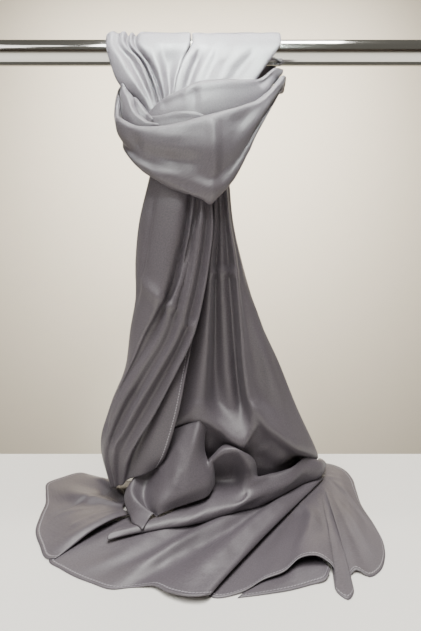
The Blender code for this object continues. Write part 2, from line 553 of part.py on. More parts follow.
RIGHT_PANEL = (
    ("under layer", 140, 20,    2, -160,    0.6, 0.6, 0.6, 0.6, 0.6, 0.6, 0.6),
    ("hidden",      142, 18,    12, -180,   0.6, 0.6, 0.6, 0.6, 0.6, 0.6, 0.6),
    ("front hem",   144, 17,    38, -176,   0.6, 0.7, 1.3, 2.0, 2.5, 2.0, 1.5),
    ("front rise",  146, 16,    58, -165,   0.6, 0.8, 2.7, 5.0, 5.4, 4.6, 4.2),
    ("arch left",   147, 15,    76, -159,   0.6, 0.8, 3.4, 7.0, 8.5, 7.5, 6.5),
    ("arch",        148, 14,    93, -149,   0.6, 0.8, 3.8, 9.0, 11.5, 12.5, 12.5),
    ("arch right",  149, 14,    110, -147,  0.6, 0.8, 3.4, 8.0, 10.5, 12.0, 12.0),
    ("loop side",   150, 14,    121, -154,  0.6, 0.8, 2.7, 5.5, 7.0, 7.5, 7.0),
    ("loop foot",   151, 14,    118, -175,  0.6, 0.8, 2.4, 4.5, 5.0, 2.5, 0.6),
    ("tongue",      152, 14,    125, -183,  0.6, 0.9, 2.5, 4.5, 4.0, 2.0, 0.6),
    ("tongue side", 153, 14,    132, -176,  0.6, 1.0, 3.4, 6.0, 5.5, 3.0, 0.6),
    ("notch",       154, 14,    135, -158,  0.6, 1.0, 3.8, 7.0, 7.0, 4.0, 1.5),
    ("wave",        155, 14,    142, -153,  0.6, 0.9, 3.0, 5.0, 5.5, 4.5, 3.5),
    ("front right", 156, 14,    152, -158,  0.6, 0.8, 1.7, 2.5, 2.0, 1.5, 0.8),
    ("corner",      157, 14,    164, -151,  0.6, 1.0, 3.0, 4.5, 3.5, 1.5, 0.6),
    ("corner side", 158, 15,    174, -137,  0.6, 1.0, 2.5, 3.5, 2.5, 1.5, 0.6),
    ("front side",  159, 16,    182, -115,  0.6, 0.8, 1.5, 1.5, 1.0, 0.8, 0.6),
    ("side bay",    159, 18,    184, -86,   0.6, 0.8, 1.7, 2.5, 2.0, 1.0, 0.6),
    ("side",        159, 20,    183, -50,   0.6, 0.8, 2.5, 3.5, 2.5, 1.2, 0.6),
    ("side swell",  159, 22,    188, -18,   0.6, 0.8, 1.7, 2.0, 1.5, 1.0, 0.6),
    ("back side",   158, 24,    192, 9,     0.6, 0.8, 2.1, 2.5, 2.0, 1.0, 0.6),
    ("back corner", 155, 25,    189, 30,    0.6, 0.8, 1.5, 1.8, 1.5, 1.0, 0.6),
    ("back",        151, 27,    178, 44,    0.6, 0.7, 1.3, 1.5, 1.2, 0.8, 0.6),
    ("back end",    146, 28,    162, 50,    0.6, 0.6, 0.8, 1.0, 0.8, 0.7, 0.6),
    ("back tuck",   140, 28,    140, 52,    0.6, 0.6, 0.6, 0.6, 0.6, 0.6, 0.6),
)

# The hem that turns back beneath the arch of the right panel.
TURNED_HEM = (
    ("left",        96, -120,   34, -181,   0.6, 0.6, 0.6, 0.6, 0.6, 0.6, 0.6),
    ("mid left",    98, -122,   60, -177,   0.6, 0.8, 1.2, 1.5, 1.5, 1.2, 0.8),
    ("middle",      100, -123,  80, -173,   0.6, 1.0, 2.5, 3.0, 2.5, 1.5, 0.8),
    ("mid right",   103, -124,  99, -167,   0.6, 1.0, 2.0, 2.5, 2.0, 1.5, 0.8),
    ("right",       107, -124,  112, -163,  0.6, 1.0, 2.0, 2.8, 2.8, 2.6, 2.4),
    ("curl",        111, -123,  118, -155,  0.6, 1.0, 2.2, 3.4, 4.4, 5.2, 5.6),
)


def split_at(grid, folds, fold_name, steps):
    """The two parts of a tail's grid before and after one of its folds, a seam gap apart."""
    column = [row[0] for row in folds].index(fold_name) * steps
    near, far = grid[:, :column + 1], grid[:, column:].copy()
    way = far[:, 1] - far[:, 0]
    far[:, 0] += way / np.linalg.norm(way, axis=1)[:, None] * SEAM_GAP
    return near, far


def panel_net(rays):
    """The points of a panel on the counter: a row for each ray, a column for each share of it."""
    net = np.zeros((len(rays), len(PANEL_SHARES), 3))
    for row, (_, root_x, root_y, hem_x, hem_y, *heights) in enumerate(rays):
        for column, (share, height) in enumerate(zip(PANEL_SHARES, heights)):
            net[row, column] = (root_x + (hem_x - root_x) * share,
                                root_y + (hem_y - root_y) * share,
                                COUNTER_LEVEL + height)
    return net


def section_net(sections):
    """The points of a piece whose sections are given point by point."""
    return np.array([row[1:] for row in sections], float)


def sheets():
    """Every piece of cloth as a grid of points, each laid clear of those beneath it."""
    made = {}

    def fold(name, net, steps, laid=()):
        grid = smooth_net(net, *steps)
        for way, under in laid:
            grid = laid_over(grid, [made[other] for other in under], way)
        grid[:, :, 2] = np.maximum(grid[:, :, 2], COUNTER_LEVEL + CLOTH_WALL / 2)
        made[name] = grid

    fold("leg_left", leg_net(LEFT_LEG_FOLDS), (2, 2))
    fold("leg_right", leg_net(RIGHT_LEG_FOLDS), (2, 2), [(FORWARD, ("leg_left",))])
    fold("band_inner", band_net(INNER_BAND, TUCKED_PROFILE), (2, 1),
         [(FORWARD, ("leg_left", "leg_right"))])
    fold("fold_crescent", band_net(CRESCENT, TUCKED_PROFILE), (2, 1), [(FORWARD, ("band_inner",))])
    fold("fold_second", band_net(SECOND_FOLD, TUCKED_PROFILE), (2, 1),
         [(FORWARD, ("band_inner", "fold_crescent"))])
    fold("fold_first", band_net(FIRST_FOLD, TUCKED_PROFILE), (2, 1),
         [(FORWARD, ("leg_left", "band_inner", "fold_crescent", "fold_second"))])
    fold("hem_turned", panel_net(TURNED_HEM), (2, 1))
    fold("panel_right", panel_net(RIGHT_PANEL), (1, 2), [(UPWARD, ("hem_turned",))])
    fold("panel_front", panel_net(FRONT_PANEL), (2, 2), [(UPWARD, ("panel_right", "hem_turned"))])
    fold("panel_left", panel_net(LEFT_PANEL), (1, 2), [(UPWARD, ("panel_front",))])
    fold("tail_right", tail_net(RIGHT_TAIL_FOLDS, RIGHT_TAIL_LEVELS), TAIL_STEPS)
    fold("heap_roll", section_net(ROLL), (2, 2),
         [(FORWARD, ("tail_right",)), (UPWARD, ("panel_front",))])
    fold("heap_lobe", section_net(LOBE), (2, 2),
         [(FORWARD, ("tail_right", "heap_roll")), (UPWARD, ("heap_roll", "panel_left"))])
    fold("tail_left", tail_net(LEFT_TAIL_FOLDS, LEFT_TAIL_LEVELS), TAIL_STEPS,
         [(FORWARD, ("heap_lobe",))])
    fold("band_outer", band_net(OUTER_BAND, FOLDED_PROFILE), (2, 1),
         [(FORWARD, ("tail_left", "tail_right", "leg_left", "leg_right", "band_inner",
                     "fold_crescent", "fold_second", "fold_first"))])
    return made


def build():
    """Clears the scene and makes each sub-part as its own object.

    Each tail bends round an empty hollow, so its front and its back are sub-parts of their own.
    """
    for old in list(bpy.data.objects):
        bpy.data.objects.remove(old)
    rail()
    for name, grid in sheets().items():
        if name in TAILS:
            front, back = split_at(grid, TAILS[name], "back side", TAIL_STEPS[1])
            cloth_wall(name + "_front", front)
            cloth_wall(name + "_back", back)
        else:
            cloth_wall(name, grid)


build()
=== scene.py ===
"""The looks of a plain satin evening stole that hangs in a loop on a chrome rail.

Every stretch of the stole is drawn from the same tables as its solid, more finely, with its
creases, rolled hems and stitches. Tables are in millimetres and the scene is in metres.
"""

import math

import bpy
import numpy as np
from bpy.props import FloatProperty, FloatVectorProperty, PointerProperty
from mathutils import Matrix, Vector
from mathutils.bvhtree import BVHTree


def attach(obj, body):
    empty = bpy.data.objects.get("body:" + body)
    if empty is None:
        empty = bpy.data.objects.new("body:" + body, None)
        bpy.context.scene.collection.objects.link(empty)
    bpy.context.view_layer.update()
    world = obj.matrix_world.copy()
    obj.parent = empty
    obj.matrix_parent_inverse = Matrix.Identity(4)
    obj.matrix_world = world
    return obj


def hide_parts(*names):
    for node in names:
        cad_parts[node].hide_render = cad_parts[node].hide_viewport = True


bl_info = {
    "name": "Evening stole on a rail",
    "version": (1, 0, 0),
    "blender": (4, 5, 0),
    "location": "3D View > Sidebar > Stole",
    "description": "A plain satin stole looped round a chrome rail, with its tails on a counter",
    "category": "Object",
}

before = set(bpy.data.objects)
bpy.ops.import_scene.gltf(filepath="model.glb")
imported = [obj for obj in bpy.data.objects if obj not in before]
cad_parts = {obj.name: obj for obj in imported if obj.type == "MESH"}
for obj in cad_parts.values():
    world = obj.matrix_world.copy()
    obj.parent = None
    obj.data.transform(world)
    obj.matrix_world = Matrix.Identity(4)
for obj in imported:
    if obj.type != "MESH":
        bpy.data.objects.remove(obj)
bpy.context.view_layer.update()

MM = 0.001
RAIL_RADIUS = 12.5
CLOTH_WALL = 1.2
SEAT_GAP = 0.3
COUNTER_LEVEL = -500.0

# How far one layer looks for the layer beneath it, the steepest slope that it allows for, and how
# often the lift that clears it is smoothed.
LAYER_REACH = 9.0
LAYER_SLOPE = 0.4
LAYER_PASSES = 3

# The least distance that two rows of a net are taken to have.
LEAST_GAP = 0.5

# A crease fades over a share of its line at each end, down to a share of its height there. Its
# height also wavers a little along it: each waver has a share of the height and radians to a
# millimetre.
CREASE_FADE = 0.22
CREASE_END = 0.15
LONG_WAVER = (0.16, 0.13)
SHORT_WAVER = (0.09, 0.31)
SHARP_POWER = 1.25

FORWARD = (0.0, -1.0, 0.0)
UPWARD = (0.0, 0.0, 1.0)


def linear(shade):
    """A linear colour with full alpha from an sRGB hex value."""
    parts = [int(shade[i:i + 2], 16) / 255 for i in (0, 2, 4)]
    parts = [c / 12.92 if c <= 0.04045 else ((c + 0.055) / 1.055) ** 2.4 for c in parts]
    return (*parts, 1.0)


def hex_of(shade):
    """The sRGB hex value of a colour setting."""
    return "".join("%02x" % round(c * 255) for c in shade)


# Smooth curves and nets

def smooth_step(t):
    """A share from 0 to 1 that starts and ends gently."""
    return t * t * (3 - 2 * t)


def through(values, at, where):
    """A smooth curve through values, which stand at the parameters `at`, read at `where`."""
    values = np.asarray(values, float)
    at = np.asarray(at, float)
    slope = np.empty_like(values)
    step = np.diff(at).reshape((-1,) + (1,) * (values.ndim - 1))
    chord = np.diff(values, axis=0) / step
    slope[0], slope[-1] = chord[0], chord[-1]
    slope[1:-1] = (chord[:-1] * step[1:] + chord[1:] * step[:-1]) / (step[1:] + step[:-1])
    span = np.clip(np.searchsorted(at, where, side="right") - 1, 0, len(at) - 2)
    width = (at[span + 1] - at[span]).reshape((-1,) + (1,) * (values.ndim - 1))
    t = ((where - at[span]).reshape(width.shape)) / width
    rise, fall = smooth_step(t), (1 - t) ** 2 * (1 + 2 * t)
    return (values[span] * fall + values[span + 1] * rise
            + slope[span] * width * t * (1 - t) ** 2
            - slope[span + 1] * width * t * t * (1 - t))


def spacing(net):
    """Parameters for the rows of a net: the mean distance from each row to the next, added up."""
    gaps = np.linalg.norm(np.diff(net, axis=0), axis=2).mean(axis=1)
    return np.concatenate([[0.0], np.cumsum(np.maximum(gaps, LEAST_GAP))])


def divided(at, pitch):
    """The parameters with each span cut into even steps of about the pitch."""
    parts = [np.linspace(a, b, max(1, round((b - a) / pitch)), endpoint=False)
             for a, b in zip(at[:-1], at[1:])]
    return np.concatenate(parts + [[at[-1]]])


def smooth_net(net, pitch):
    """A fine grid of points through a net of sections (rows) and folds (columns)."""
    net = np.asarray(net, float)
    along = spacing(net)
    grid = through(net, along, divided(along, pitch))
    turned = grid.transpose(1, 0, 2)
    across = spacing(turned)
    return through(turned, across, divided(across, pitch)).transpose(1, 0, 2)


def sheet_faces(rows, columns):
    """The four-sided faces of a grid of points."""
    return [
        (r * columns + c, r * columns + c + 1, (r + 1) * columns + c + 1, (r + 1) * columns + c)
        for r in range(rows - 1)
        for c in range(columns - 1)
    ]


def softened(rise, passes):
    """Each point takes the greatest rise near it, and the result is then smoothed."""
    padded = np.pad(rise, 1, mode="edge")
    rows, columns = rise.shape
    shifts = [padded[r:r + rows, c:c + columns] for r in range(3) for c in range(3)]
    top = np.maximum.reduce(shifts)
    for _ in range(passes):
        padded = np.pad(top, 1, mode="edge")
        shifts = [padded[r:r + rows, c:c + columns] for r in range(3) for c in range(3)]
        top = np.maximum(sum(shifts) / 9, rise)
    return top


def laid_over(grid, under, way, wall):
    """A grid moved one way, where it has to, so that it clears the sheets it lies on."""
    step = Vector(way)
    clear = wall + SEAT_GAP / 2
    for sheet in under:
        points = [Vector(p) for p in sheet.reshape(-1, 3)]
        tree = BVHTree.FromPolygons(points, sheet_faces(*sheet.shape[:2]))
        rise = np.zeros(grid.shape[:2])
        for place in np.ndindex(rise.shape):
            point = Vector(grid[place])
            hit, normal, _, _ = tree.ray_cast(point + step * LAYER_REACH, -step, 2 * LAYER_REACH)
            if hit is not None:
                slope = max(abs(normal.dot(step)), LAYER_SLOPE)
                rise[place] = max(0.0, (hit - point).dot(step) + clear / slope)
        grid = grid + softened(rise, LAYER_PASSES)[:, :, None] * np.array(way)
    return grid


def normals(grid):
    """A unit normal at each point of a grid."""
    along, across = np.gradient(grid, axis=0), np.gradient(grid, axis=1)
    out = np.cross(along, across)
    return out / np.maximum(np.linalg.norm(out, axis=2), 1e-9)[:, :, None]


def creased(grid, creases, plane, facing):
    """A grid pushed in or out along the given creases.

    A crease is a line of places in a plane of two axes, drawn on the side that faces one way.
    """
    outward = normals(grid)
    side = outward @ np.array(facing)
    outward = outward * np.sign(side)[:, :, None]
    shown = np.clip(np.abs(side) * 3, 0, 1)
    flat = grid[:, :, plane]
    for _, depth, width, sharp, *line in creases:
        line = np.array(line, float).reshape(-1, 2)
        best = np.full(grid.shape[:2], 1e9)
        run = np.zeros(grid.shape[:2])
        length = 0.0
        for a, b in zip(line[:-1], line[1:]):
            chord = b - a
            span = np.linalg.norm(chord)
            t = np.clip(((flat - a) @ chord) / span ** 2, 0, 1)
            gap = np.linalg.norm(flat - a - t[:, :, None] * chord, axis=2)
            nearer = gap < best
            best = np.where(nearer, gap, best)
            run = np.where(nearer, length + t * span, run)
            length += span
        ends = np.clip(np.minimum(run, length - run) / (CREASE_FADE * length), 0, 1)
        fade = CREASE_END + (1 - CREASE_END) * smooth_step(ends)
        uneven = (1 + LONG_WAVER[0] * np.sin(run * LONG_WAVER[1] + width)
                  + SHORT_WAVER[0] * np.sin(run * SHORT_WAVER[1] + depth * 5))
        near = np.clip(1 - best / width, 0, 1)
        shape = sharp * near ** SHARP_POWER + (1 - sharp) * smooth_step(near)
        grid = grid + outward * (depth * shape * fade * uneven * shown)[:, :, None]
    return grid


# The two legs: each rises from the throat, passes over the rail and comes down behind it

# The middle of a leg's path where a fold has no height: depth (y) and level (z) at each station.
LEG_SEAT = RAIL_RADIUS + SEAT_GAP + CLOTH_WALL / 2
LEG_SLANT = LEG_SEAT * math.cos(math.radians(45))
LEG_PATH = (
    # station, y, z
    ("throat end", -33.0, -104.0),
    ("throat", -29.0, -80.0),
    ("low front", -24.5, -62.0),
    ("mid front", -20.0, -44.0),
    ("high front", -15.5, -20.0),
    ("rail front", -LEG_SEAT, 2.0),
    ("rail brow", -LEG_SLANT, LEG_SLANT),
    ("rail top", 0.0, LEG_SEAT),
    ("rail nape", LEG_SLANT, LEG_SLANT),
    ("rail back", LEG_SEAT, 0.0),
    ("back end", 15.5, -24.0),
)

# One row for each fold, from left to right. Its place along the rail (x) at the throat end,
# throat, low, mid and high front, rail front, rail back and back end, then its height off the
# path at the throat, low on the front, high on the front and over the rail.
LEFT_LEG_FOLDS = (
    # name,          end, throat, low, mid, high, rail, back, foot, then the four heights
    ("tuck",         -46, -48, -55, -74, -86, -92, -92, -88, 0.5, 0.0, 0.5, 1.0),
    ("outer roll",   -49, -51, -60, -82, -93, -98, -98, -92, 2.0, 3.0, 5.0, 3.5),
    ("crown",        -45, -48, -55, -67, -81, -92, -92, -87, 3.5, 7.0, 12.0, 6.5),
    ("hollow",       -39, -44, -50, -58, -70, -86, -86, -81, 3.0, 6.0, 7.0, 4.5),
    ("inner roll",   -34, -40, -46, -52, -62, -80, -80, -76, 3.0, 6.0, 11.0, 6.5),
    ("first gap",    -30, -37, -43, -49, -59, -76, -76, -73, 2.0, 2.5, 1.5, 2.0),
    ("thin pleat",   -26, -35, -41, -46, -56, -72, -72, -69, 2.5, 4.5, 8.5, 5.5),
    ("second gap",   -22, -33, -38, -43, -53, -68, -68, -66, 1.5, 2.0, 1.5, 2.0),
    ("panel brow",   -18, -30, -36, -40, -49, -63, -63, -63, 2.0, 4.0, 7.5, 5.5),
    ("panel",        -14, -27, -34, -37, -42, -49, -49, -58, 2.5, 4.5, 8.0, 5.5),
    ("panel hollow", -10, -25, -31, -32, -32, -30, -30, -53, 1.5, 2.5, 3.5, 5.0),
    ("panel edge",   -6,  -22, -28, -26, -19, -10, -10, -47, 2.0, 4.0, 5.0, 4.5),
    ("panel return", -8,  -24, -30, -28, -21, -13, -13, -49, -1.0, -1.0, -0.5, 0.6),
)

RIGHT_LEG_FOLDS = (
    # name,          end, throat, low, mid, high, rail, back, foot, then the four heights
    ("tuck",         1,   -15, -21, -20, -13, -4,  -4,  54, 0.5, 0.5, 0.5, 1.0),
    ("inner edge",   -3,  -19, -27, -25, -18, -7.6, -7.6, 51, 2.5, 4.5, 8.0, 4.5),
    ("first ridge",  1,   -14, -20, -19, -12, 0,   0,   54, 3.0, 5.5, 8.0, 5.2),
    ("first hollow", 5,   -9,  -13, -12, -4,  8,   8,   58, 2.0, 4.0, 5.5, 4.5),
    ("second ridge", 9,   -4,  -6,  -4,  5,   18,  18,  62, 2.5, 5.0, 7.5, 5.0),
    ("broad face",   13,  2,   1,   5,   18,  33,  33,  69, 2.5, 5.0, 7.0, 5.0),
    ("broad ridge",  17,  9,   12,  20,  36,  52,  52,  76, 3.0, 6.5, 9.0, 5.5),
    ("faint hollow", 20,  14,  21,  32,  50,  66,  66,  82, 2.0, 5.0, 7.0, 5.0),
    ("outer ridge",  23,  19,  28,  42,  60,  75,  75,  86, 2.5, 5.5, 7.5, 5.5),
    ("outer edge",   28,  26,  37,  54,  71,  85,  85,  92, 1.5, 4.0, 6.0, 4.5),
    ("edge return",  24,  22,  32,  48,  66,  81,  81,  89, -1.0, 0.0, 0.5, 1.0),
)


def leg_net(folds):
    """The points of a leg: a section at each station of the path, a column for each fold.

    The throat end is level, so that the tail below it meets it edge to edge.
    """
    path = np.array([row[1:] for row in LEG_PATH])
    ahead = np.gradient(path, axis=0)
    ahead /= np.linalg.norm(ahead, axis=1)[:, None]
    outward = np.stack([-ahead[:, 1], ahead[:, 0]], axis=1)
    outward[0] = (-1.0, 0.0)
    net = np.zeros((len(path), len(folds), 3))
    for column, fold in enumerate(folds):
        end, throat, low, mid, high, front, back, foot = fold[1:9]
        at_throat, at_low, at_high, at_rail = fold[9:]
        across = (end, throat, low, mid, high, front, front, front, back, back, foot)
        height = (at_throat, at_throat, at_low, at_high, at_high,
                  at_rail, at_rail, at_rail, at_rail, at_rail, at_rail)
        for station, (x, rise) in enumerate(zip(across, height)):
            y, z = path[station] + outward[station] * rise
            net[station, column] = (x, y, z)
    return net


# The bands of the loop, which cross the front of the throat

# Each section of a band: its top edge (x, y, z), its bottom edge (x, y, z) and how far the
# cloth between them stands out.
OUTER_BAND = (
    # name,           top x, y, z,    bottom x, y, z,   bulge
    ("behind left",   -90, 19, -27,   -47, 19, -27,     1.0),
    ("left nape",     -92, 10, -34,   -66, 20, -40,     2.0),
    ("left side",     -89, -12, -48,  -83, 12, -66,     3.0),
    ("left turn",     -86, -34, -74,  -80, -6, -98,     4.5),
    ("left corner",   -79, -49, -83,  -73, -32, -113,   5.0),
    ("left front",    -61, -57, -92,  -60, -48, -130,   6.0),
    ("mid left",      -40, -61, -93,  -42, -56, -143,   5.5),
    ("middle",        -13, -63, -89,  -16, -60, -155,   5.5),
    ("crease left",   6,   -63, -84,  3, -61, -162,     6.0),
    ("crease",        14,  -62, -82,  11, -60, -167,    7.5),
    ("crease right",  22,  -60, -79,  19, -57, -160,    6.5),
    ("mid right",     40, -55, -73,   33, -51, -144,    5.5),
    ("right front",   63, -44, -61,   56, -42, -97,     5.0),
    ("right turn",    80, -30, -43,   75, -29, -62,     3.0),
    ("right tip",     91, -12, -28,   88, -13, -40,     1.5),
    ("right side",    93, 4, -29,     90, 6, -39,       1.5),
    ("behind right",  91, 20, -29,    55, 21, -30,      1.0),
)

# The inner bands also say how far their top edge is tucked in behind.
INNER_BAND = (
    # name,           top x, y, z,    bottom x, y, z,   bulge, tuck
    ("left tip",      -80, -6, -40,   -79, -8, -64,     0.5, 1),
    ("left back",     -69, -11, -52,  -69, -15, -76,    0.5, 1),
    ("left side",     -62, -22, -66,  -62, -27, -86,    0.5, 1),
    ("throat",        -55, -36, -74,  -55, -39, -92,    0.5, 2),
    ("left",          -37, -46, -63,  -38, -47, -100,   2.5, 3),
    ("mid left",      -17, -50, -55,  -17, -51, -106,   4.0, 4),
    ("crease",        -3, -51, -49,   -3, -52, -106,    4.5, 4),
    ("middle",        22, -48, -45,   20, -50, -104,    4.5, 4),
    ("mid right",     45, -40, -42,   42, -43, -92,     4.0, 4),
    ("right",         62, -32, -38,   59, -35, -70,     3.0, 3),
    ("right turn",    80, -19, -23,   77, -23, -41,     2.0, 2),
    ("right tip",     90, -3, -18,    89, -5, -23,      0.8, 1),
)

FIRST_FOLD = (
    ("left top",      -81, -25, -42,  -83, -24, -54,    1.0, 2),
    ("left side",     -77, -32, -50,  -81, -31, -68,    2.0, 4),
    ("left turn",     -71, -40, -60,  -77, -38, -82,    3.0, 6),
    ("hook",          -66, -47, -73,  -69, -45, -92,    2.5, 5),
    ("left front",    -52, -51, -86,  -55, -48, -102,   1.5, 2),
    ("end",           -40, -53, -90,  -41, -51, -101,   0.5, 2),
)

SECOND_FOLD = (
    ("top",           -67, -34, -57,  -71, -35, -72,    1.0, 3),
    ("upper",         -59, -41, -67,  -66, -42, -84,    2.0, 4),
    ("lower",         -51, -45, -78,  -57, -44, -93,    1.0, 3),
    ("foot",          -46, -47, -85,  -52, -45, -95,    0.5, 2),
)

CRESCENT = (
    ("left",          -50, -48, -80,  -50, -49, -96,    0.5, 1),
    ("mid left",      -38, -51, -80,  -38, -52, -106,   2.0, 1),
    ("middle",        -22, -54, -78,  -22, -55, -108,   2.0, 1),
    ("mid right",     -4, -56, -79,   -4, -56, -108,    2.0, 1),
    ("right",         12, -54, -85,   12, -55, -106,    1.0, 1),
)

# The profile of the outer band, which is folded double: its share of the way down, its stand-off
# as a share of the bulge, and millimetres inward. It starts inside the rolled top edge and ends
# under the lower one.
FOLDED_PROFILE = (
    (0.24, 0.0, 3.6),
    (0.08, 0.0, 3.2),
    (0.00, 0.0, 1.6),
    (0.02, 0.3, 0.0),
    (0.20, 0.8, 0.0),
    (0.45, 1.0, 0.0),
    (0.62, 0.7, 0.0),
    (0.72, 0.5, 0.0),
    (0.86, 0.9, 0.0),
    (0.98, 0.4, 0.0),
    (1.00, 0.0, 2.0),
    (0.93, 0.0, 4.5),
)

# The profile of an inner band: the third number is a share of the section's own tuck.
TUCKED_PROFILE = (
    (0.00, 0.0, 1.0),
    (0.00, 0.0, 0.4),
    (0.03, 0.4, 0.0),
    (0.22, 0.8, 0.0),
    (0.50, 1.0, 0.0),
    (0.78, 0.6, 0.0),
    (1.00, 0.0, 0.0),
)
TUCK_RISE = 0.3


def band_net(sections, profile):
    """The points of a band: a section at each row, a column for each point of the profile."""
    top = np.array([row[1:4] for row in sections], float)
    bottom = np.array([row[4:7] for row in sections], float)
    bulge = np.array([row[7] for row in sections], float)
    tucked = len(sections[0]) > 8
    tuck = np.array([row[-1] if tucked else 1.0 for row in sections], float)
    rise = TUCK_RISE if tucked else 0.0
    ahead = np.gradient((top + bottom) / 2, axis=0)
    outward = np.cross(bottom - top, ahead)
    outward /= np.linalg.norm(outward, axis=1)[:, None]
    net = np.zeros((len(sections), len(profile), 3))
    for column, (down, share, inward) in enumerate(profile):
        off = bulge * share - inward * tuck
        net[:, column] = top + (bottom - top) * down + outward * off[:, None]
        net[:, column, 2] += inward * tuck * rise
    return net


# The tails

# Each fold line of a tail runs from the throat to the counter. At the first levels the lines
# share one height; below them each line has heights of its own, given last in its row.
LEFT_TAIL_LEVELS = (-104.9, -140, -180, -225, -265, -300, -345, -390, -430)

LEFT_TAIL_FOLDS = (
    # name, x at each row, y at each row, z of the foot
    ("hem", (-12, -2, 4, 2, -2, -7, -15, -24, -36, -46),
     (-28, -30, -32.5, -34.6, -37, -42, -55, -60, -62, -58), (-448,)),
    ("flap", (-10, 0, 7, 5, 0, -9, -22, -38, -53, -62),
     (-30, -33, -36, -39, -40, -42, -51, -57, -60, -59), (-457,)),
    ("flap root", (-8, 3, 9, 6, 0, -10, -30, -51, -69, -78),
     (-33, -36, -40, -42, -43, -44, -48, -51, -53, -57), (-463,)),
    ("last pleat", (-10, 8, 14, 10, 3, -6, -27, -51, -75, -86),
     (-38, -47, -53, -55, -57, -58, -60, -62, -63, -58), (-470,)),
    ("valley", (-13, 3, 7, 2, -6, -16, -38, -63, -85, -91),
     (-35, -42, -47, -48, -50, -50, -52, -54, -57, -55), (-472,)),
    ("mid pleat", (-17, -1, 2, -4, -13, -23, -48, -75, -94, -94),
     (-38, -47, -54, -57, -60, -60, -61, -62, -61, -55), (-474,)),
    ("pleat cut", (-20, -5, -4, -12, -22, -32, -57, -84, -100, -97),
     (-35, -42, -47, -49, -52, -52, -52, -52, -54, -51), (-476,)),
    ("thin pleat", (-22, -8, -8, -17, -28, -40, -67, -92, -105, -100),
     (-37, -46, -52, -54, -57, -57, -57, -57, -55, -50), (-478,)),
    ("deep gap", (-25, -12, -13, -23, -35, -50, -77, -100, -109, -102),
     (-33, -40, -43, -44, -47, -48, -48, -48, -49, -46), (-480,)),
    ("broad edge", (-28, -16, -19, -29, -41, -57, -80, -102, -112, -103),
     (-36, -47, -53, -55, -57, -54, -50, -46, -44, -42), (-482,)),
    ("broad panel", (-34, -30, -36, -44, -52, -66, -83, -103, -113, -101),
     (-37, -46, -50, -52, -53, -48, -42, -38, -37, -37), (-485,)),
    ("shade line", (-40, -45, -52, -60, -67, -76, -85, -103, -114, -100),
     (-34, -38, -40, -40, -38, -34, -31, -30, -31, -32), (-488,)),
    ("side", (-46, -55, -66, -72, -73, -79, -86, -104, -114, -98),
     (-28, -26, -22, -20, -20, -20, -20, -20, -22, -24), (-489,)),
    ("back side", (-40, -49, -59, -64, -66, -70, -77, -92, -101, -88),
     (-18, -10, -4, 0, 0, 2, 4, 4, 2, -6), (-489,)),
    ("back", (-26, -30, -34, -36, -38, -42, -50, -60, -70, -72),
     (-16, -4, 4, 9, 9, 12, 15, 16, 14, 4), (-489,)),
    ("back edge", (-12, -10, -12, -12, -14, -16, -22, -30, -42, -54),
     (-14, -8, -4, 0, 0, 2, 4, 4, 4, 0), (-489,)),
)

RIGHT_TAIL_LEVELS = (-104.4, -140, -180, -225, -265, -300, -345)

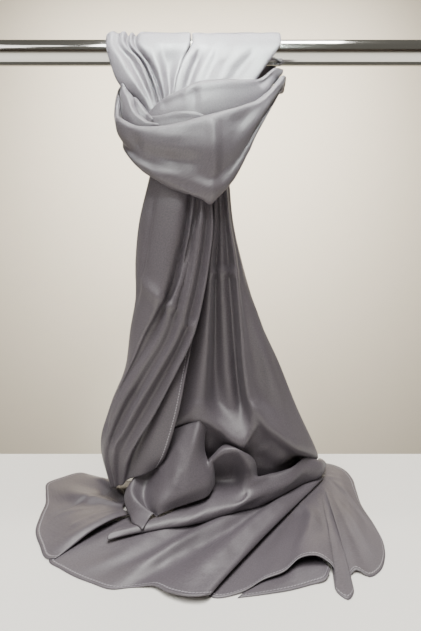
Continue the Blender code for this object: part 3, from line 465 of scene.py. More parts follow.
RIGHT_TAIL_FOLDS = (
    # name, x at each row, y at each row, z of the last rows: above the buckle, crease, hollow, foot
    ("inner edge", (-2, -2, -3, -6, -12, -18, -27, -36, -43, -44, -42),
     (-18, -18, -20, -22, -23, -25, -31, -39, -44, -34, -32), (-385, -412, -424, -470)),
    ("inner fold", (4, 6, 6, 2, -3, -7, -13, -18, -22, -22, -20),
     (-22, -24, -26, -28, -29, -31, -36, -42, -46, -36, -34), (-379, -404, -416, -470)),
    ("left ridge", (10, 14, 16, 12, 10, 8, 5, 2, 0, 5, 4),
     (-35, -40, -41, -44, -44, -44, -46, -49, -52, -40, -36), (-370, -394, -427, -470)),
    ("left hollow", (13, 17, 20, 18, 17, 17, 17, 19, 23, 24, 22),
     (-27, -34, -34, -29, -25, -21, -20, -28, -50, -36, -32), (-382, -411, -437, -472)),
    ("middle ridge", (16, 20, 23, 24, 25, 27, 30, 37, 46, 40, 40),
     (-35, -37, -36, -34, -31, -28, -28, -34, -55, -37, -33), (-390, -425, -444, -474)),
    ("right hollow", (19, 23, 27, 31, 34, 37, 41, 46, 55, 56, 56),
     (-25, -32, -33, -29, -25, -22, -20, -26, -50, -38, -34), (-384, -414, -442, -476)),
    ("right ridge", (22, 27, 31, 38, 42, 45, 49, 54, 64, 70, 70),
     (-33, -37, -39, -42, -42, -42, -44, -46, -50, -37, -32), (-373, -398, -434, -474)),
    ("flank hollow", (25, 29, 33, 41, 47, 53, 62, 70, 82, 86, 86),
     (-22, -28, -32, -33, -31, -29, -27, -28, -44, -31, -27), (-380, -416, -448, -475)),
    ("flank ridge", (28, 31, 35, 44, 52, 61, 76, 88, 103, 102, 100),
     (-20, -25, -28, -29, -28, -28, -28, -27, -31, -18, -13), (-390, -437, -457, -478)),
    ("front side", (29, 32, 36, 46, 57, 69, 87, 104, 123, 119, 116),
     (-14, -18, -20, -20, -18, -17, -14, -13, -16, 2, 7), (-398, -453, -467, -483)),
    ("side", (28, 31, 35, 46, 58, 71, 93, 118, 149, 147, 145),
     (-8, -10, -10, -8, -6, -4, 0, 5, 15, 23, 26), (-404, -472, -482, -491)),
    ("back side", (24, 26, 29, 38, 49, 61, 82, 110, 140, 142, 142),
     (-3, -2, 0, 4, 8, 12, 18, 26, 37, 40, 41), (-402, -466, -482, -491)),
    ("back ridge", (17, 18, 19, 24, 32, 42, 58, 82, 108, 112, 113),
     (2, 4, 8, 14, 20, 26, 34, 42, 49, 50, 50), (-398, -448, -472, -493)),
    ("back hollow", (10, 9, 9, 10, 14, 20, 30, 46, 64, 68, 68),
     (-3, -2, 0, 4, 8, 11, 16, 22, 28, 30, 30), (-398, -448, -472, -493)),
    ("far ridge", (3, 0, -1, -2, -2, 2, 4, 12, 22, 25, 25),
     (1, 5, 8, 14, 20, 27, 33, 40, 46, 48, 48), (-398, -448, -472, -493)),
    ("back edge", (-4, -6, -6, -8, -9, -10, -10, -10, -8, -8, -8),
     (-4, 2, 8, 12, 16, 20, 22, 26, 30, 31, 31), (-398, -448, -472, -493)),
)


def tail_net(folds, levels):
    """The points of a tail: a section at each row, a column for each fold line."""
    return np.array([list(zip(across, depth, levels + last)) for _, across, depth, last in folds],
                    float).transpose(1, 0, 2)


# The heap in front of the tails

# The standing lobe: sections from its hidden right side to the outside of the cup on the left.
LOBE = (
    # name, then x, y, z at the top, shoulder, middle, low and foot
    ("return", (9, -43.6, -404), (5, -50, -418), (6, -54, -436), (15, -58, -452), (16, -62, -467)),
    ("right edge", (0, -52, -397), (-5, -66, -418), (-3, -71, -436), (8, -76, -457), (7, -78, -472)),
    ("right face", (-9, -50, -401), (-14, -68, -424), (-14, -79, -443), (-8, -85, -461),
     (-8, -83, -475)),
    ("broad face", (-22, -47, -407), (-27, -62, -430), (-28, -80, -450), (-26, -90, -466),
     (-25, -88, -478)),
    ("left face", (-41, -46, -416), (-43, -56, -446), (-44, -76, -463), (-42, -91, -472),
     (-39, -94, -481)),
    ("cup", (-57, -44, -442), (-61, -53, -468), (-61, -67, -480), (-54, -83, -484),
     (-44, -94, -484)),
    ("lip", (-76, -55, -466), (-77, -63, -469), (-73, -73, -473), (-63, -83, -478),
     (-48, -95, -481)),
    ("outside", (-83, -54, -478), (-83, -64, -481), (-79, -76, -485), (-71, -88, -489),
     (-56, -101, -488)),
)

# The long roll: sections from the right corner to the tip on the left.
ROLL = (
    # name, then x, y, z at the back, outer shoulder, ridge, hollow, crest, face, foot and tuck
    ("corner", (158, 46, -492), (159, 43, -490), (161, 40, -489), (162, 37, -489), (163, 34, -489),
     (164, 31, -490), (163, 28, -492), (158, 34, -494)),
    ("shank", (151, 21, -486), (151, 16, -480), (151, 12, -477), (150, 8, -476), (150, 4, -477),
     (150, -1, -482), (147, -4, -491), (141, 5, -492)),
    ("right end", (135, 8, -480), (133, 3, -471), (131, -2, -466), (129, -6, -465),
     (128, -10, -467), (128, -17, -475), (124, -18, -491), (119, -8, -492)),
    ("right", (110, -16, -480), (109, -21, -473), (107, -26, -467), (106, -30, -466),
     (105, -34, -468), (102, -42, -477), (93, -44, -491), (90, -30, -492)),
    ("right bend", (85, -24, -484), (83, -32, -477), (82, -38, -468), (80, -43, -467),
     (78, -48, -469), (73, -59, -478), (63, -65, -491), (62, -52, -492)),
    ("nose side", (67, -38, -476), (63, -46, -464), (59, -54, -460), (57, -59, -464),
     (55, -64, -471), (51, -74, -479), (39, -77, -491), (40, -66, -492)),
    ("nose", (61, -43, -448), (57, -51, -442), (53, -61, -443), (50, -58, -462),
     (48, -66, -475), (41, -79, -481), (28, -83, -491), (30, -72, -492)),
    ("hook top", (46, -47, -438), (45, -56, -431), (41, -63, -428), (40, -45, -468),
     (38, -68, -477), (29, -83, -482), (15, -88, -491), (18, -76, -492)),
    ("hook", (29, -42, -433), (28, -50, -427), (26, -62, -429), (27, -43, -471),
     (26, -71, -477), (16, -88, -482), (3, -93, -491), (6, -80, -492)),
    ("hook left", (15, -42, -445), (14, -50, -439), (12, -61, -441), (13, -45, -471),
     (13, -74, -477), (3, -92, -482), (-9, -97, -491), (-6, -84, -492)),
    ("under lobe", (0, -42, -462), (-1, -50, -458), (-2, -58, -459), (-2, -56, -474),
     (-3, -76, -480), (-11, -95, -484), (-23, -101, -491), (-19, -88, -492)),
    ("left", (-26, -64, -488), (-27, -72, -485), (-28, -79, -483), (-28, -84, -483),
     (-29, -90, -483), (-34, -101, -485), (-43, -106, -491), (-38, -94, -492)),
    ("far left", (-51, -82, -491), (-52, -90, -488), (-53, -96, -487), (-54, -100, -486),
     (-55, -104, -486), (-60, -109, -488), (-65, -111, -491), (-62, -103, -492)),
    ("tip", (-78, -103, -491), (-80, -105, -489), (-82, -108, -488), (-84, -111, -488),
     (-86, -114, -488), (-89, -117, -489), (-88, -120, -491), (-84, -117, -492)),
)

# Panels spread on the counter. Each ray runs straight from a hidden root to the hem, and the
# middle of the cloth stands above the counter by its own height at each share of the way.
PANEL_SHARES = (0.0, 0.2, 0.4, 0.6, 0.75, 0.9, 1.0)

LEFT_PANEL = (
    # name,         root x, y,  hem x, y,   height at each share
    ("back tuck",   -66, -44,   -78, 0,     6.0, 6.0, 5.5, 4.0, 3.0, 1.5, 0.6),
    ("back",        -72, -45,   -98, 3,     6.0, 6.5, 6.0, 4.5, 3.0, 1.5, 0.6),
    ("back bay",    -77, -46,   -121, 8,    5.5, 6.5, 7.0, 5.5, 3.5, 1.5, 0.6),
    ("back ridge",  -81, -48,   -143, 17,   5.0, 6.0, 8.0, 7.5, 5.0, 2.0, 0.6),
    ("back corner", -83, -50,   -159, 23,   4.5, 4.5, 5.0, 5.0, 3.5, 1.5, 0.6),
    ("left corner", -84, -52,   -179, 11,   4.5, 4.0, 3.5, 3.0, 2.0, 1.0, 0.6),
    ("left tip",    -85, -54,   -192, -2,   5.0, 5.5, 5.5, 4.5, 2.5, 1.0, 0.6),
    ("left ridge",  -86, -57,   -186, -24,  5.5, 7.5, 8.5, 6.5, 3.5, 1.5, 0.6),
    ("left hollow", -86, -60,   -178, -45,  5.0, 5.0, 4.5, 3.5, 2.0, 1.0, 0.6),
    ("left face",   -85, -63,   -174, -72,  5.0, 6.0, 6.5, 6.0, 4.0, 1.5, 0.6),
    ("left swell",  -84, -66,   -169, -95,  5.5, 8.0, 9.0, 7.5, 4.5, 1.5, 0.6),
    ("front swell", -82, -69,   -156, -117, 6.0, 9.5, 10.5, 9.0, 6.0, 2.5, 0.6),
    ("fold ridge",  -78, -72,   -141, -136, 7.0, 12.0, 13.0, 11.5, 8.0, 3.5, 0.6),
    ("fold lip",    -74, -74,   -133, -137, 5.5, 10.0, 11.0, 9.5, 6.5, 3.5, 1.2),
)

FRONT_PANEL = (
    ("under tails", 126, 30,    -126, -102, 4.0, 4.5, 4.5, 4.5, 4.0, 2.0, 1.2),
    ("under ridge", 127, 27,    -136, -121, 4.5, 5.0, 5.0, 5.0, 4.5, 2.5, 0.6),
    ("left swell",  129, 24,    -139, -138, 5.0, 6.5, 7.0, 7.5, 7.0, 3.5, 0.6),
    ("left hollow", 131, 21,    -125, -148, 4.5, 5.0, 5.5, 6.0, 5.5, 3.0, 0.6),
    ("first ridge", 133, 18,    -108, -158, 4.5, 5.5, 7.0, 10.0, 9.5, 4.5, 0.6),
    ("long hollow", 135, 16,    -92, -165,  4.5, 5.0, 5.0, 5.5, 4.0, 2.0, 0.6),
    ("broad ridge", 137, 14,    -73, -172,  5.0, 6.0, 7.0, 11.5, 11.5, 5.5, 0.6),
    ("bay",         139, 12,    -55, -170,  5.0, 6.0, 6.5, 8.0, 7.5, 3.5, 0.8),
    ("dip",         141, 10,    -38, -171,  6.0, 6.0, 5.5, 5.0, 5.0, 4.5, 3.5),
    ("last ridge",  144, 8,     -24, -180,  6.5, 8.0, 11.0, 13.5, 12.5, 9.0, 5.0),
    ("last face",   147, 6,     -8, -186,   6.5, 8.5, 11.5, 13.5, 12.5, 9.5, 6.5),
    ("layer edge",  151, 3,     8, -185,    6.6, 7.4, 8.6, 9.7, 9.2, 8.0, 6.6),
    ("layer turn",  153, 2,     11, -182,   5.0, 5.6, 6.8, 7.6, 7.2, 6.2, 4.6),
    ("layer lip",   146, 8,     5, -169,    3.4, 3.8, 4.2, 4.6, 4.2, 3.2, 2.1),
)

RIGHT_PANEL = (
    ("under layer", 140, 20,    2, -160,    0.6, 0.6, 0.6, 0.6, 0.6, 0.6, 0.6),
    ("hidden",      142, 18,    12, -180,   0.6, 0.6, 0.6, 0.6, 0.6, 0.6, 0.6),
    ("front hem",   144, 17,    38, -176,   0.6, 0.7, 1.3, 2.0, 2.5, 2.0, 1.5),
    ("front rise",  146, 16,    58, -165,   0.6, 0.8, 2.7, 5.0, 5.4, 4.6, 4.2),
    ("arch left",   147, 15,    76, -159,   0.6, 0.8, 3.4, 7.0, 8.5, 7.5, 6.5),
    ("arch",        148, 14,    93, -149,   0.6, 0.8, 3.8, 9.0, 11.5, 12.5, 12.5),
    ("arch right",  149, 14,    110, -147,  0.6, 0.8, 3.4, 8.0, 10.5, 12.0, 12.0),
    ("loop side",   150, 14,    121, -154,  0.6, 0.8, 2.7, 5.5, 7.0, 7.5, 7.0),
    ("loop foot",   151, 14,    118, -175,  0.6, 0.8, 2.4, 4.5, 5.0, 2.5, 0.6),
    ("tongue",      152, 14,    125, -183,  0.6, 0.9, 2.5, 4.5, 4.0, 2.0, 0.6),
    ("tongue side", 153, 14,    132, -176,  0.6, 1.0, 3.4, 6.0, 5.5, 3.0, 0.6),
    ("notch",       154, 14,    135, -158,  0.6, 1.0, 3.8, 7.0, 7.0, 4.0, 1.5),
    ("wave",        155, 14,    142, -153,  0.6, 0.9, 3.0, 5.0, 5.5, 4.5, 3.5),
    ("front right", 156, 14,    152, -158,  0.6, 0.8, 1.7, 2.5, 2.0, 1.5, 0.8),
    ("corner",      157, 14,    164, -151,  0.6, 1.0, 3.0, 4.5, 3.5, 1.5, 0.6),
    ("corner side", 158, 15,    174, -137,  0.6, 1.0, 2.5, 3.5, 2.5, 1.5, 0.6),
    ("front side",  159, 16,    182, -115,  0.6, 0.8, 1.5, 1.5, 1.0, 0.8, 0.6),
    ("side bay",    159, 18,    184, -86,   0.6, 0.8, 1.7, 2.5, 2.0, 1.0, 0.6),
    ("side",        159, 20,    183, -50,   0.6, 0.8, 2.5, 3.5, 2.5, 1.2, 0.6),
    ("side swell",  159, 22,    188, -18,   0.6, 0.8, 1.7, 2.0, 1.5, 1.0, 0.6),
    ("back side",   158, 24,    192, 9,     0.6, 0.8, 2.1, 2.5, 2.0, 1.0, 0.6),
    ("back corner", 155, 25,    189, 30,    0.6, 0.8, 1.5, 1.8, 1.5, 1.0, 0.6),
    ("back",        151, 27,    178, 44,    0.6, 0.7, 1.3, 1.5, 1.2, 0.8, 0.6),
    ("back end",    146, 28,    162, 50,    0.6, 0.6, 0.8, 1.0, 0.8, 0.7, 0.6),
    ("back tuck",   140, 28,    140, 52,    0.6, 0.6, 0.6, 0.6, 0.6, 0.6, 0.6),
)

# The hem that turns back beneath the arch of the right panel.
TURNED_HEM = (
    ("left",        96, -120,   34, -181,   0.6, 0.6, 0.6, 0.6, 0.6, 0.6, 0.6),
    ("mid left",    98, -122,   60, -177,   0.6, 0.8, 1.2, 1.5, 1.5, 1.2, 0.8),
    ("middle",      100, -123,  80, -173,   0.6, 1.0, 2.5, 3.0, 2.5, 1.5, 0.8),
    ("mid right",   103, -124,  99, -167,   0.6, 1.0, 2.0, 2.5, 2.0, 1.5, 0.8),
    ("right",       107, -124,  112, -163,  0.6, 1.0, 2.0, 2.8, 2.8, 2.6, 2.4),
    ("curl",        111, -123,  118, -155,  0.6, 1.0, 2.2, 3.4, 4.4, 5.2, 5.6),
)


def panel_net(rays):
    """The points of a panel on the counter: a row for each ray, a column for each share of it."""
    net = np.zeros((len(rays), len(PANEL_SHARES), 3))
    for row, (_, root_x, root_y, hem_x, hem_y, *heights) in enumerate(rays):
        for column, (share, height) in enumerate(zip(PANEL_SHARES, heights)):
            net[row, column] = (root_x + (hem_x - root_x) * share,
                                root_y + (hem_y - root_y) * share,
                                COUNTER_LEVEL + height)
    return net


def section_net(sections):
    """The points of a piece whose sections are given point by point."""
    return np.array([row[1:] for row in sections], float)


# Creases that are pressed or hand-laid into the cloth. Each row gives its name, its height in
# millimetres (a trough is negative), its half width, how sharp it is from 0 to 1, and its line.
CREASES = {
    # lines in x and z, seen from the front
    "band_outer": (
        ("pressed upright", 2.4, 9, 1.0, 13, -84, 15, -105, 15, -125, 14, -145, 11, -163),
        ("valley", -4.6, 13, 0.1, -78, -98, -66, -108, -58, -116, -44, -122, -22, -126, 8, -128),
        ("below valley", -2.2, 14, 0.0, -62, -126, -46, -140, -24, -148, 2, -152),
        ("lower edge", 1.6, 5, 0.9, -60, -128, -42, -141, -16, -153, 10, -164),
        ("lower right edge", 1.4, 5, 0.9, 12, -163, 32, -142, 44, -120, 56, -97),
        ("upper fold", 1.0, 9, 0.2, -70, -94, -50, -101, -28, -104, -4, -102),
        ("right slack", -1.8, 11, 0.1, 28, -96, 44, -84, 60, -68, 76, -50),
        ("right swell", 1.0, 10, 0.1, 24, -126, 38, -112, 52, -92, 64, -72),
    ),
    "band_inner": (
        ("pressed upright", -1.8, 8, 0.9, -4, -52, -4, -66, -4, -82),
        ("tip hollow", -3.0, 9, 0.3, 58, -46, 70, -38, 82, -28),
        ("left slack", -1.2, 8, 0.2, -40, -70, -28, -66, -14, -62),
    ),
    "leg_right": (
        ("first crease", -1.0, 6, 0.2, 2, 8, -2, -12, -10, -34, -16, -50),
        ("second crease", -0.9, 7, 0.1, 24, 6, 16, -14, 6, -34),
        ("broad crease", -0.8, 9, 0.0, 62, 4, 48, -16, 32, -34),
        ("shallow crease", 0.7, 9, 0.0, 44, 6, 32, -12, 20, -30),
    ),
    "leg_left": (
        ("panel crease", -0.9, 6, 0.3, -40, 6, -38, -14, -34, -34, -30, -48),
        ("panel side", 0.7, 5, 0.3, -52, 4, -46, -16, -38, -36),
    ),
    "tail_left": (
        ("pressed upper", 2.8, 10, 1.0, -68, -240, -50, -256, -36, -268),
        ("pressed middle", 2.4, 8, 1.0, -35, -268, -27, -273, -20, -274),
        ("pressed lower", 2.2, 8, 1.0, -18, -291, -3, -292),
        ("long pleat", -2.4, 5, 0.4, -45, -146, -51, -172, -58, -216, -64, -244, -72, -280),
        ("deep gap", -3.2, 5, 0.3, 2, -150, -8, -200, -20, -236, -38, -272, -58, -306, -78, -344),
        ("bright pleat", 2.2, 6, 0.4, 2, -176, -10, -216, -22, -256, -34, -282),
        ("flap swell", 1.4, 9, 0.1, -20, -320, -30, -360, -44, -400, -58, -432),
        ("foot trough", -2.0, 7, 0.3, -62, -352, -76, -384, -88, -414, -94, -440),
        ("foot pleat", 1.5, 5, 0.3, -74, -350, -88, -382, -100, -414, -102, -442),
        ("side trough", -1.8, 7, 0.2, -92, -350, -102, -384, -106, -420),
    ),
    "tail_right": (
        ("pressed across", 2.6, 10, 1.0, 8, -237, 24, -236, 42, -237),
        ("buckle left", 2.8, 7, 0.9, -11, -401, 0, -394, 12, -402, 24, -411),
        ("buckle middle", 2.2, 7, 0.9, 24, -411, 46, -425, 56, -413, 64, -398),
        ("buckle right", 2.8, 9, 0.7, 64, -398, 82, -414, 104, -436, 124, -453),
        ("under buckle", 3.0, 15, 0.0, 4, -428, 22, -440, 40, -448),
        ("under right", 3.5, 15, 0.0, 66, -430, 84, -446, 104, -460),
        ("soft middle", 1.2, 10, 0.0, 28, -250, 31, -300, 33, -350, 36, -385),
        ("long flank", -1.5, 10, 0.1, 44, -230, 54, -280, 66, -330, 78, -376),
        ("outer flank", 1.2, 10, 0.1, 56, -250, 72, -310, 92, -370, 108, -420),
    ),
    "heap_lobe": (
        ("face swell", 1.2, 9, 0.1, -20, -420, -24, -440, -26, -462),
        ("cup slack", -1.4, 8, 0.2, -44, -430, -50, -446, -50, -464),
    ),
    "heap_roll": (
        ("crest", 0.9, 6, 0.2, 120, -474, 96, -478, 70, -478, 40, -480, 10, -484),
    ),
    # lines in x and y, seen from above
    "panel_left": (
        ("first crease", -1.4, 6, 0.6, -100, -22, -126, -40, -144, -57, -156, -69, -168, -83),
        ("back roll", 2.4, 6, 0.5, -82, -48, -100, -30, -118, -10, -130, 4),
        ("back trough", -1.6, 6, 0.3, -88, -54, -108, -38, -124, -22),
        ("front ridge", 1.6, 8, 0.3, -92, -74, -114, -88, -134, -104),
        ("middle crease", 0.9, 8, 0.2, -100, -56, -130, -66, -160, -74),
    ),
    "panel_front": (
        ("soft ridge", 1.8, 14, 0.1, 114, -36, 73, -84, 39, -123, 2, -161, -13, -184),
        ("soft hollow", -1.8, 14, 0.0, 68, -62, 31, -104, -2, -126, -33, -152, -57, -168),
        ("long crease", 1.0, 8, 0.3, 92, -30, 44, -76, 4, -112, -40, -142, -80, -156),
        ("left hollow", -1.6, 10, 0.1, 20, -72, -20, -98, -64, -124, -104, -142),
        ("near edge", -1.2, 7, 0.2, 96, -60, 66, -96, 40, -128, 22, -158),
    ),
    "panel_right": (
        ("triangle left", 1.6, 7, 0.5, 116, -42, 117, -60, 118, -84, 110, -107, 95, -133),
        ("triangle trough", -1.4, 8, 0.3, 128, -44, 130, -70, 127, -98, 116, -124),
        ("corner crease", -0.9, 7, 0.4, 152, 6, 160, -30, 166, -70),
        ("side crease", 0.9, 8, 0.3, 150, -20, 152, -60, 150, -104, 148, -136),
        ("back crease", 0.7, 7, 0.4, 160, 16, 174, 4, 186, -8),
    ),
}

# Which edge of a stretch is the stole's own rolled hem: the first or the last column of its grid.
HEMS = {"tail_left": "first column"} | dict.fromkeys(
    ("leg_right", "panel_left", "panel_front", "panel_right", "hem_turned", "tail_right"),
    "last column")

# How far in from a hem a point counts as lying where a stretch has none, in metres.
NO_HEM = 1.0

# The distance between the points of each grid, finer where the folds are small.
LEG_PITCH = 1.4
BAND_PITCH = 1.5
FOLD_PITCH = 1.2
PANEL_PITCH = 2.0
TAIL_PITCH = 2.2
ROLL_PITCH = 1.8
LOBE_PITCH = 1.6

GRIDS = {}


def cloth_grids():
    """Every stretch of cloth as a fine grid of points, each laid clear of those beneath it."""
    if GRIDS:
        return GRIDS
    wall = bpy.context.scene.stole.wall / MM

    def fold(name, net, pitch, laid=()):
        grid = smooth_net(net, pitch)
        level = name.startswith("panel") or name == "hem_turned"
        plane, facing = ([0, 1], UPWARD) if level else ([0, 2], FORWARD)
        grid = creased(grid, CREASES.get(name, ()), plane, facing)
        for way, under in laid:
            grid = laid_over(grid, [GRIDS[other] for other in under], way, wall)
        grid[:, :, 2] = np.maximum(grid[:, :, 2], COUNTER_LEVEL + wall / 2)
        GRIDS[name] = grid

    fold("leg_left", leg_net(LEFT_LEG_FOLDS), LEG_PITCH)
    fold("leg_right", leg_net(RIGHT_LEG_FOLDS), LEG_PITCH, [(FORWARD, ("leg_left",))])
    fold("band_inner", band_net(INNER_BAND, TUCKED_PROFILE), BAND_PITCH,
         [(FORWARD, ("leg_left", "leg_right"))])
    fold("fold_crescent", band_net(CRESCENT, TUCKED_PROFILE), BAND_PITCH,
         [(FORWARD, ("band_inner",))])
    fold("fold_second", band_net(SECOND_FOLD, TUCKED_PROFILE), FOLD_PITCH,
         [(FORWARD, ("band_inner", "fold_crescent"))])
    fold("fold_first", band_net(FIRST_FOLD, TUCKED_PROFILE), FOLD_PITCH,
         [(FORWARD, ("leg_left", "band_inner", "fold_crescent", "fold_second"))])
    fold("hem_turned", panel_net(TURNED_HEM), PANEL_PITCH)
    fold("panel_right", panel_net(RIGHT_PANEL), PANEL_PITCH, [(UPWARD, ("hem_turned",))])
    fold("panel_front", panel_net(FRONT_PANEL), PANEL_PITCH,
         [(UPWARD, ("panel_right", "hem_turned"))])
    fold("panel_left", panel_net(LEFT_PANEL), PANEL_PITCH, [(UPWARD, ("panel_front",))])
    fold("tail_right", tail_net(RIGHT_TAIL_FOLDS, RIGHT_TAIL_LEVELS), TAIL_PITCH)
    fold("heap_roll", section_net(ROLL), ROLL_PITCH,
         [(FORWARD, ("tail_right",)), (UPWARD, ("panel_front",))])
    fold("heap_lobe", section_net(LOBE), LOBE_PITCH,
         [(FORWARD, ("heap_roll",)), (UPWARD, ("heap_roll", "panel_left"))])
    fold("tail_left", tail_net(LEFT_TAIL_FOLDS, LEFT_TAIL_LEVELS), TAIL_PITCH,
         [(FORWARD, ("heap_lobe",))])
    fold("band_outer", band_net(OUTER_BAND, FOLDED_PROFILE), BAND_PITCH,
         [(FORWARD, ("tail_left", "tail_right", "leg_left", "leg_right", "band_inner",
                     "fold_crescent", "fold_second", "fold_first"))])
    return GRIDS


# Materials

def add_node(tree, kind, settings=None, links=None):
    """Adds a node with its settings, which name its sockets or properties, and its links."""
    made = tree.nodes.new(kind)
    for name, value in (settings or {}).items():
        if isinstance(name, int) or name in made.inputs:
            made.inputs[name].default_value = value
        else:
            setattr(made, name, value)
    for name, source in (links or {}).items():
        tree.links.new(source, made.inputs[name])
    return made


def bare_material(name):
    """A new material with a Principled shader, its tree and that shader."""
    made = bpy.data.materials.new(name)
    made.use_nodes = True
    return made, made.node_tree, made.node_tree.nodes["Principled BSDF"]


# The satin's patterns, in metres: the distance between the diagonal bands that stand for its
# threads, then the sizes of its slubs, its rumples and its patches of shade.
BAND_SPACING = 0.00766
SLUB = 0.0016
RUMPLE = 0.022
SHADE_PATCH = 0.07

# A diagonal wave of scale 1 has this distance between its bands.
WAVE_UNIT = 2 * math.pi / 10 / math.sqrt(2)

# The rolled hem slopes down between two distances from the edge. Its stitches lie in a line of
# their own, one at each step.
HEM_CREST = 0.0024
HEM_FOOT = 0.0036
STITCH_HALF_WIDTH = 0.0006
STITCH_STEP = 0.003
STITCH_GAP = 0.0008


def woven_satin():
    """Polyester satin, woven with long floats and pressed.

    The floats give a soft sheen along the folds. Its threads are 0.1 mm apart, too fine to show
    here, so very faint diagonal bands 7.7 mm apart stand for them. The hem is rolled about 3 mm
    wide. Its stitches are 2.2 mm long, one every 3 mm, and drawn 1.2 mm wide so that they show.
    """
    stole = bpy.context.scene.stole
    made, tree, shader = bare_material("satin woven and pressed")
    weave = add_node(tree, "ShaderNodeUVMap", {"uv_map": "weave"}).outputs["UV"]
    hem = add_node(tree, "ShaderNodeUVMap", {"uv_map": "hem"}).outputs["UV"]
    floats = add_node(tree, "ShaderNodeTexWave", {
        "wave_type": "BANDS", "bands_direction": "DIAGONAL", "Scale": WAVE_UNIT / BAND_SPACING,
        "Distortion": 1.5, "Detail": 2.0, "Detail Scale": 0.6}, {"Vector": weave})
    slubs, rumple, shade = [
        add_node(tree, "ShaderNodeTexNoise", {"Scale": 1 / size, "Detail": detail},
                 {"Vector": weave})
        for size, detail in ((SLUB, 3.0), (RUMPLE, 2.5), (SHADE_PATCH, 2.0))]
    split = add_node(tree, "ShaderNodeSeparateXYZ", {}, {"Vector": hem})
    run, inward = split.outputs["X"], split.outputs["Y"]
    roll = add_node(tree, "ShaderNodeMapRange", {
        "interpolation_type": "SMOOTHSTEP", "From Min": HEM_CREST, "From Max": HEM_FOOT,
        "To Min": 1.0, "To Max": 0.0}, {"Value": inward}).outputs["Result"]
    near, beat = inward, run
    for operation, value in (("SUBTRACT", HEM_FOOT), ("ABSOLUTE", 0.0),
                             ("LESS_THAN", STITCH_HALF_WIDTH)):
        near = add_node(tree, "ShaderNodeMath", {"operation": operation, 1: value},
                        {0: near}).outputs[0]
    for operation, value in (("PINGPONG", STITCH_STEP / 2), ("GREATER_THAN", STITCH_GAP / 2)):
        beat = add_node(tree, "ShaderNodeMath", {"operation": operation, 1: value},
                        {0: beat}).outputs[0]
    stitch = add_node(tree, "ShaderNodeMath", {"operation": "MULTIPLY"},
                      {0: near, 1: beat}).outputs[0]
    tint = add_node(tree, "ShaderNodeMix", {
        "data_type": "RGBA", 6: linear(hex_of(stole.dark)), 7: linear(hex_of(stole.pale))},
        {0: shade.outputs["Fac"]})
    speck = add_node(tree, "ShaderNodeMapRange", {
        "From Min": 0.3, "From Max": 0.7, "To Min": 0.76, "To Max": 1.24},
        {"Value": slubs.outputs["Fac"]})
    woven = add_node(tree, "ShaderNodeVectorMath", {"operation": "SCALE"},
                     {0: tint.outputs[2], "Scale": speck.outputs["Result"]})
    sewn = add_node(tree, "ShaderNodeMix", {"data_type": "RGBA", 7: linear("8f8b92")},
                    {0: stitch, 6: woven.outputs[0]})
    fine = add_node(tree, "ShaderNodeBump", {"Strength": 0.10, "Distance": 0.0002},
                    {"Height": floats.outputs["Fac"]})
    grain = add_node(tree, "ShaderNodeBump", {"Strength": 0.35, "Distance": 0.0003},
                     {"Height": slubs.outputs["Fac"], "Normal": fine.outputs[0]})
    soft = add_node(tree, "ShaderNodeBump", {"Strength": 0.35, "Distance": 0.0012},
                    {"Height": rumple.outputs["Fac"], "Normal": grain.outputs[0]})
    rolled = add_node(tree, "ShaderNodeBump", {"Strength": 0.6, "Distance": 0.0007},
                      {"Height": roll, "Normal": soft.outputs[0]})
    sunk = add_node(tree, "ShaderNodeBump", {"Strength": 0.6, "Distance": 0.0005, "invert": True},
                    {"Height": stitch, "Normal": rolled.outputs[0]})
    tree.links.new(sewn.outputs[2], shader.inputs["Base Color"])
    tree.links.new(sunk.outputs[0], shader.inputs["Normal"])
    shader.inputs["Roughness"].default_value = 0.52
    shader.inputs["Specular IOR Level"].default_value = 0.85
    shader.inputs["Anisotropic"].default_value = 0.3
    shader.inputs["Sheen Weight"].default_value = 0.1
    shader.inputs["Sheen Roughness"].default_value = 0.4
    shader.inputs["Sheen Tint"].default_value = linear("d9d6e0")
    return made


def polished_chrome():
    """Chromium plate on drawn steel tube, buffed: a mirror with faint marks along its length."""
    made, tree, shader = bare_material("chrome plated and buffed")
    place = add_node(tree, "ShaderNodeTexCoord").outputs["Object"]
    drawn = add_node(tree, "ShaderNodeMapping", {"Scale": (12.0, 900.0, 900.0)}, {"Vector": place})
    marks = add_node(tree, "ShaderNodeTexNoise", {"Scale": 1.0, "Detail": 2.0},
                     {"Vector": drawn.outputs[0]})
    faint = add_node(tree, "ShaderNodeBump", {"Strength": 0.05, "Distance": 0.0001},
                     {"Height": marks.outputs["Fac"]})
    tree.links.new(faint.outputs[0], shader.inputs["Normal"])
    shader.inputs["Base Color"].default_value = linear("d2d1cd")
    shader.inputs["Metallic"].default_value = 1.0
    shader.inputs["Roughness"].default_value = 0.09
    return made


def painted_board(name, shade, roughness):
    """Painted or laminated board: an even, slightly soft surface."""
    made, tree, shader = bare_material(name)
    place = add_node(tree, "ShaderNodeTexCoord").outputs["Object"]
    mottle = add_node(tree, "ShaderNodeTexNoise", {"Scale": 9.0, "Detail": 3.0}, {"Vector": place})
    tint = add_node(tree, "ShaderNodeMix", {
        "data_type": "RGBA", 6: linear(shade), 7: tuple(min(1.0, c * 1.04) for c in linear(shade))},
        {0: mottle.outputs["Fac"]})
    tree.links.new(tint.outputs[2], shader.inputs["Base Color"])
    shader.inputs["Roughness"].default_value = roughness
    return made


MATERIALS = {}


def shared(name, make):
    """The material kept under a name, made the first time that it is asked for."""
    if name not in MATERIALS:
        MATERIALS[name] = make()
    return MATERIALS[name]


# Pieces

def lengths(grid, axis):
    """How far each point of a grid lies along one axis of it, in metres."""
    gaps = np.linalg.norm(np.diff(grid, axis=axis), axis=2) * MM
    start = np.zeros_like(np.take(gaps, [0], axis=axis))
    return np.concatenate([start, np.cumsum(gaps, axis=axis)], axis=axis)


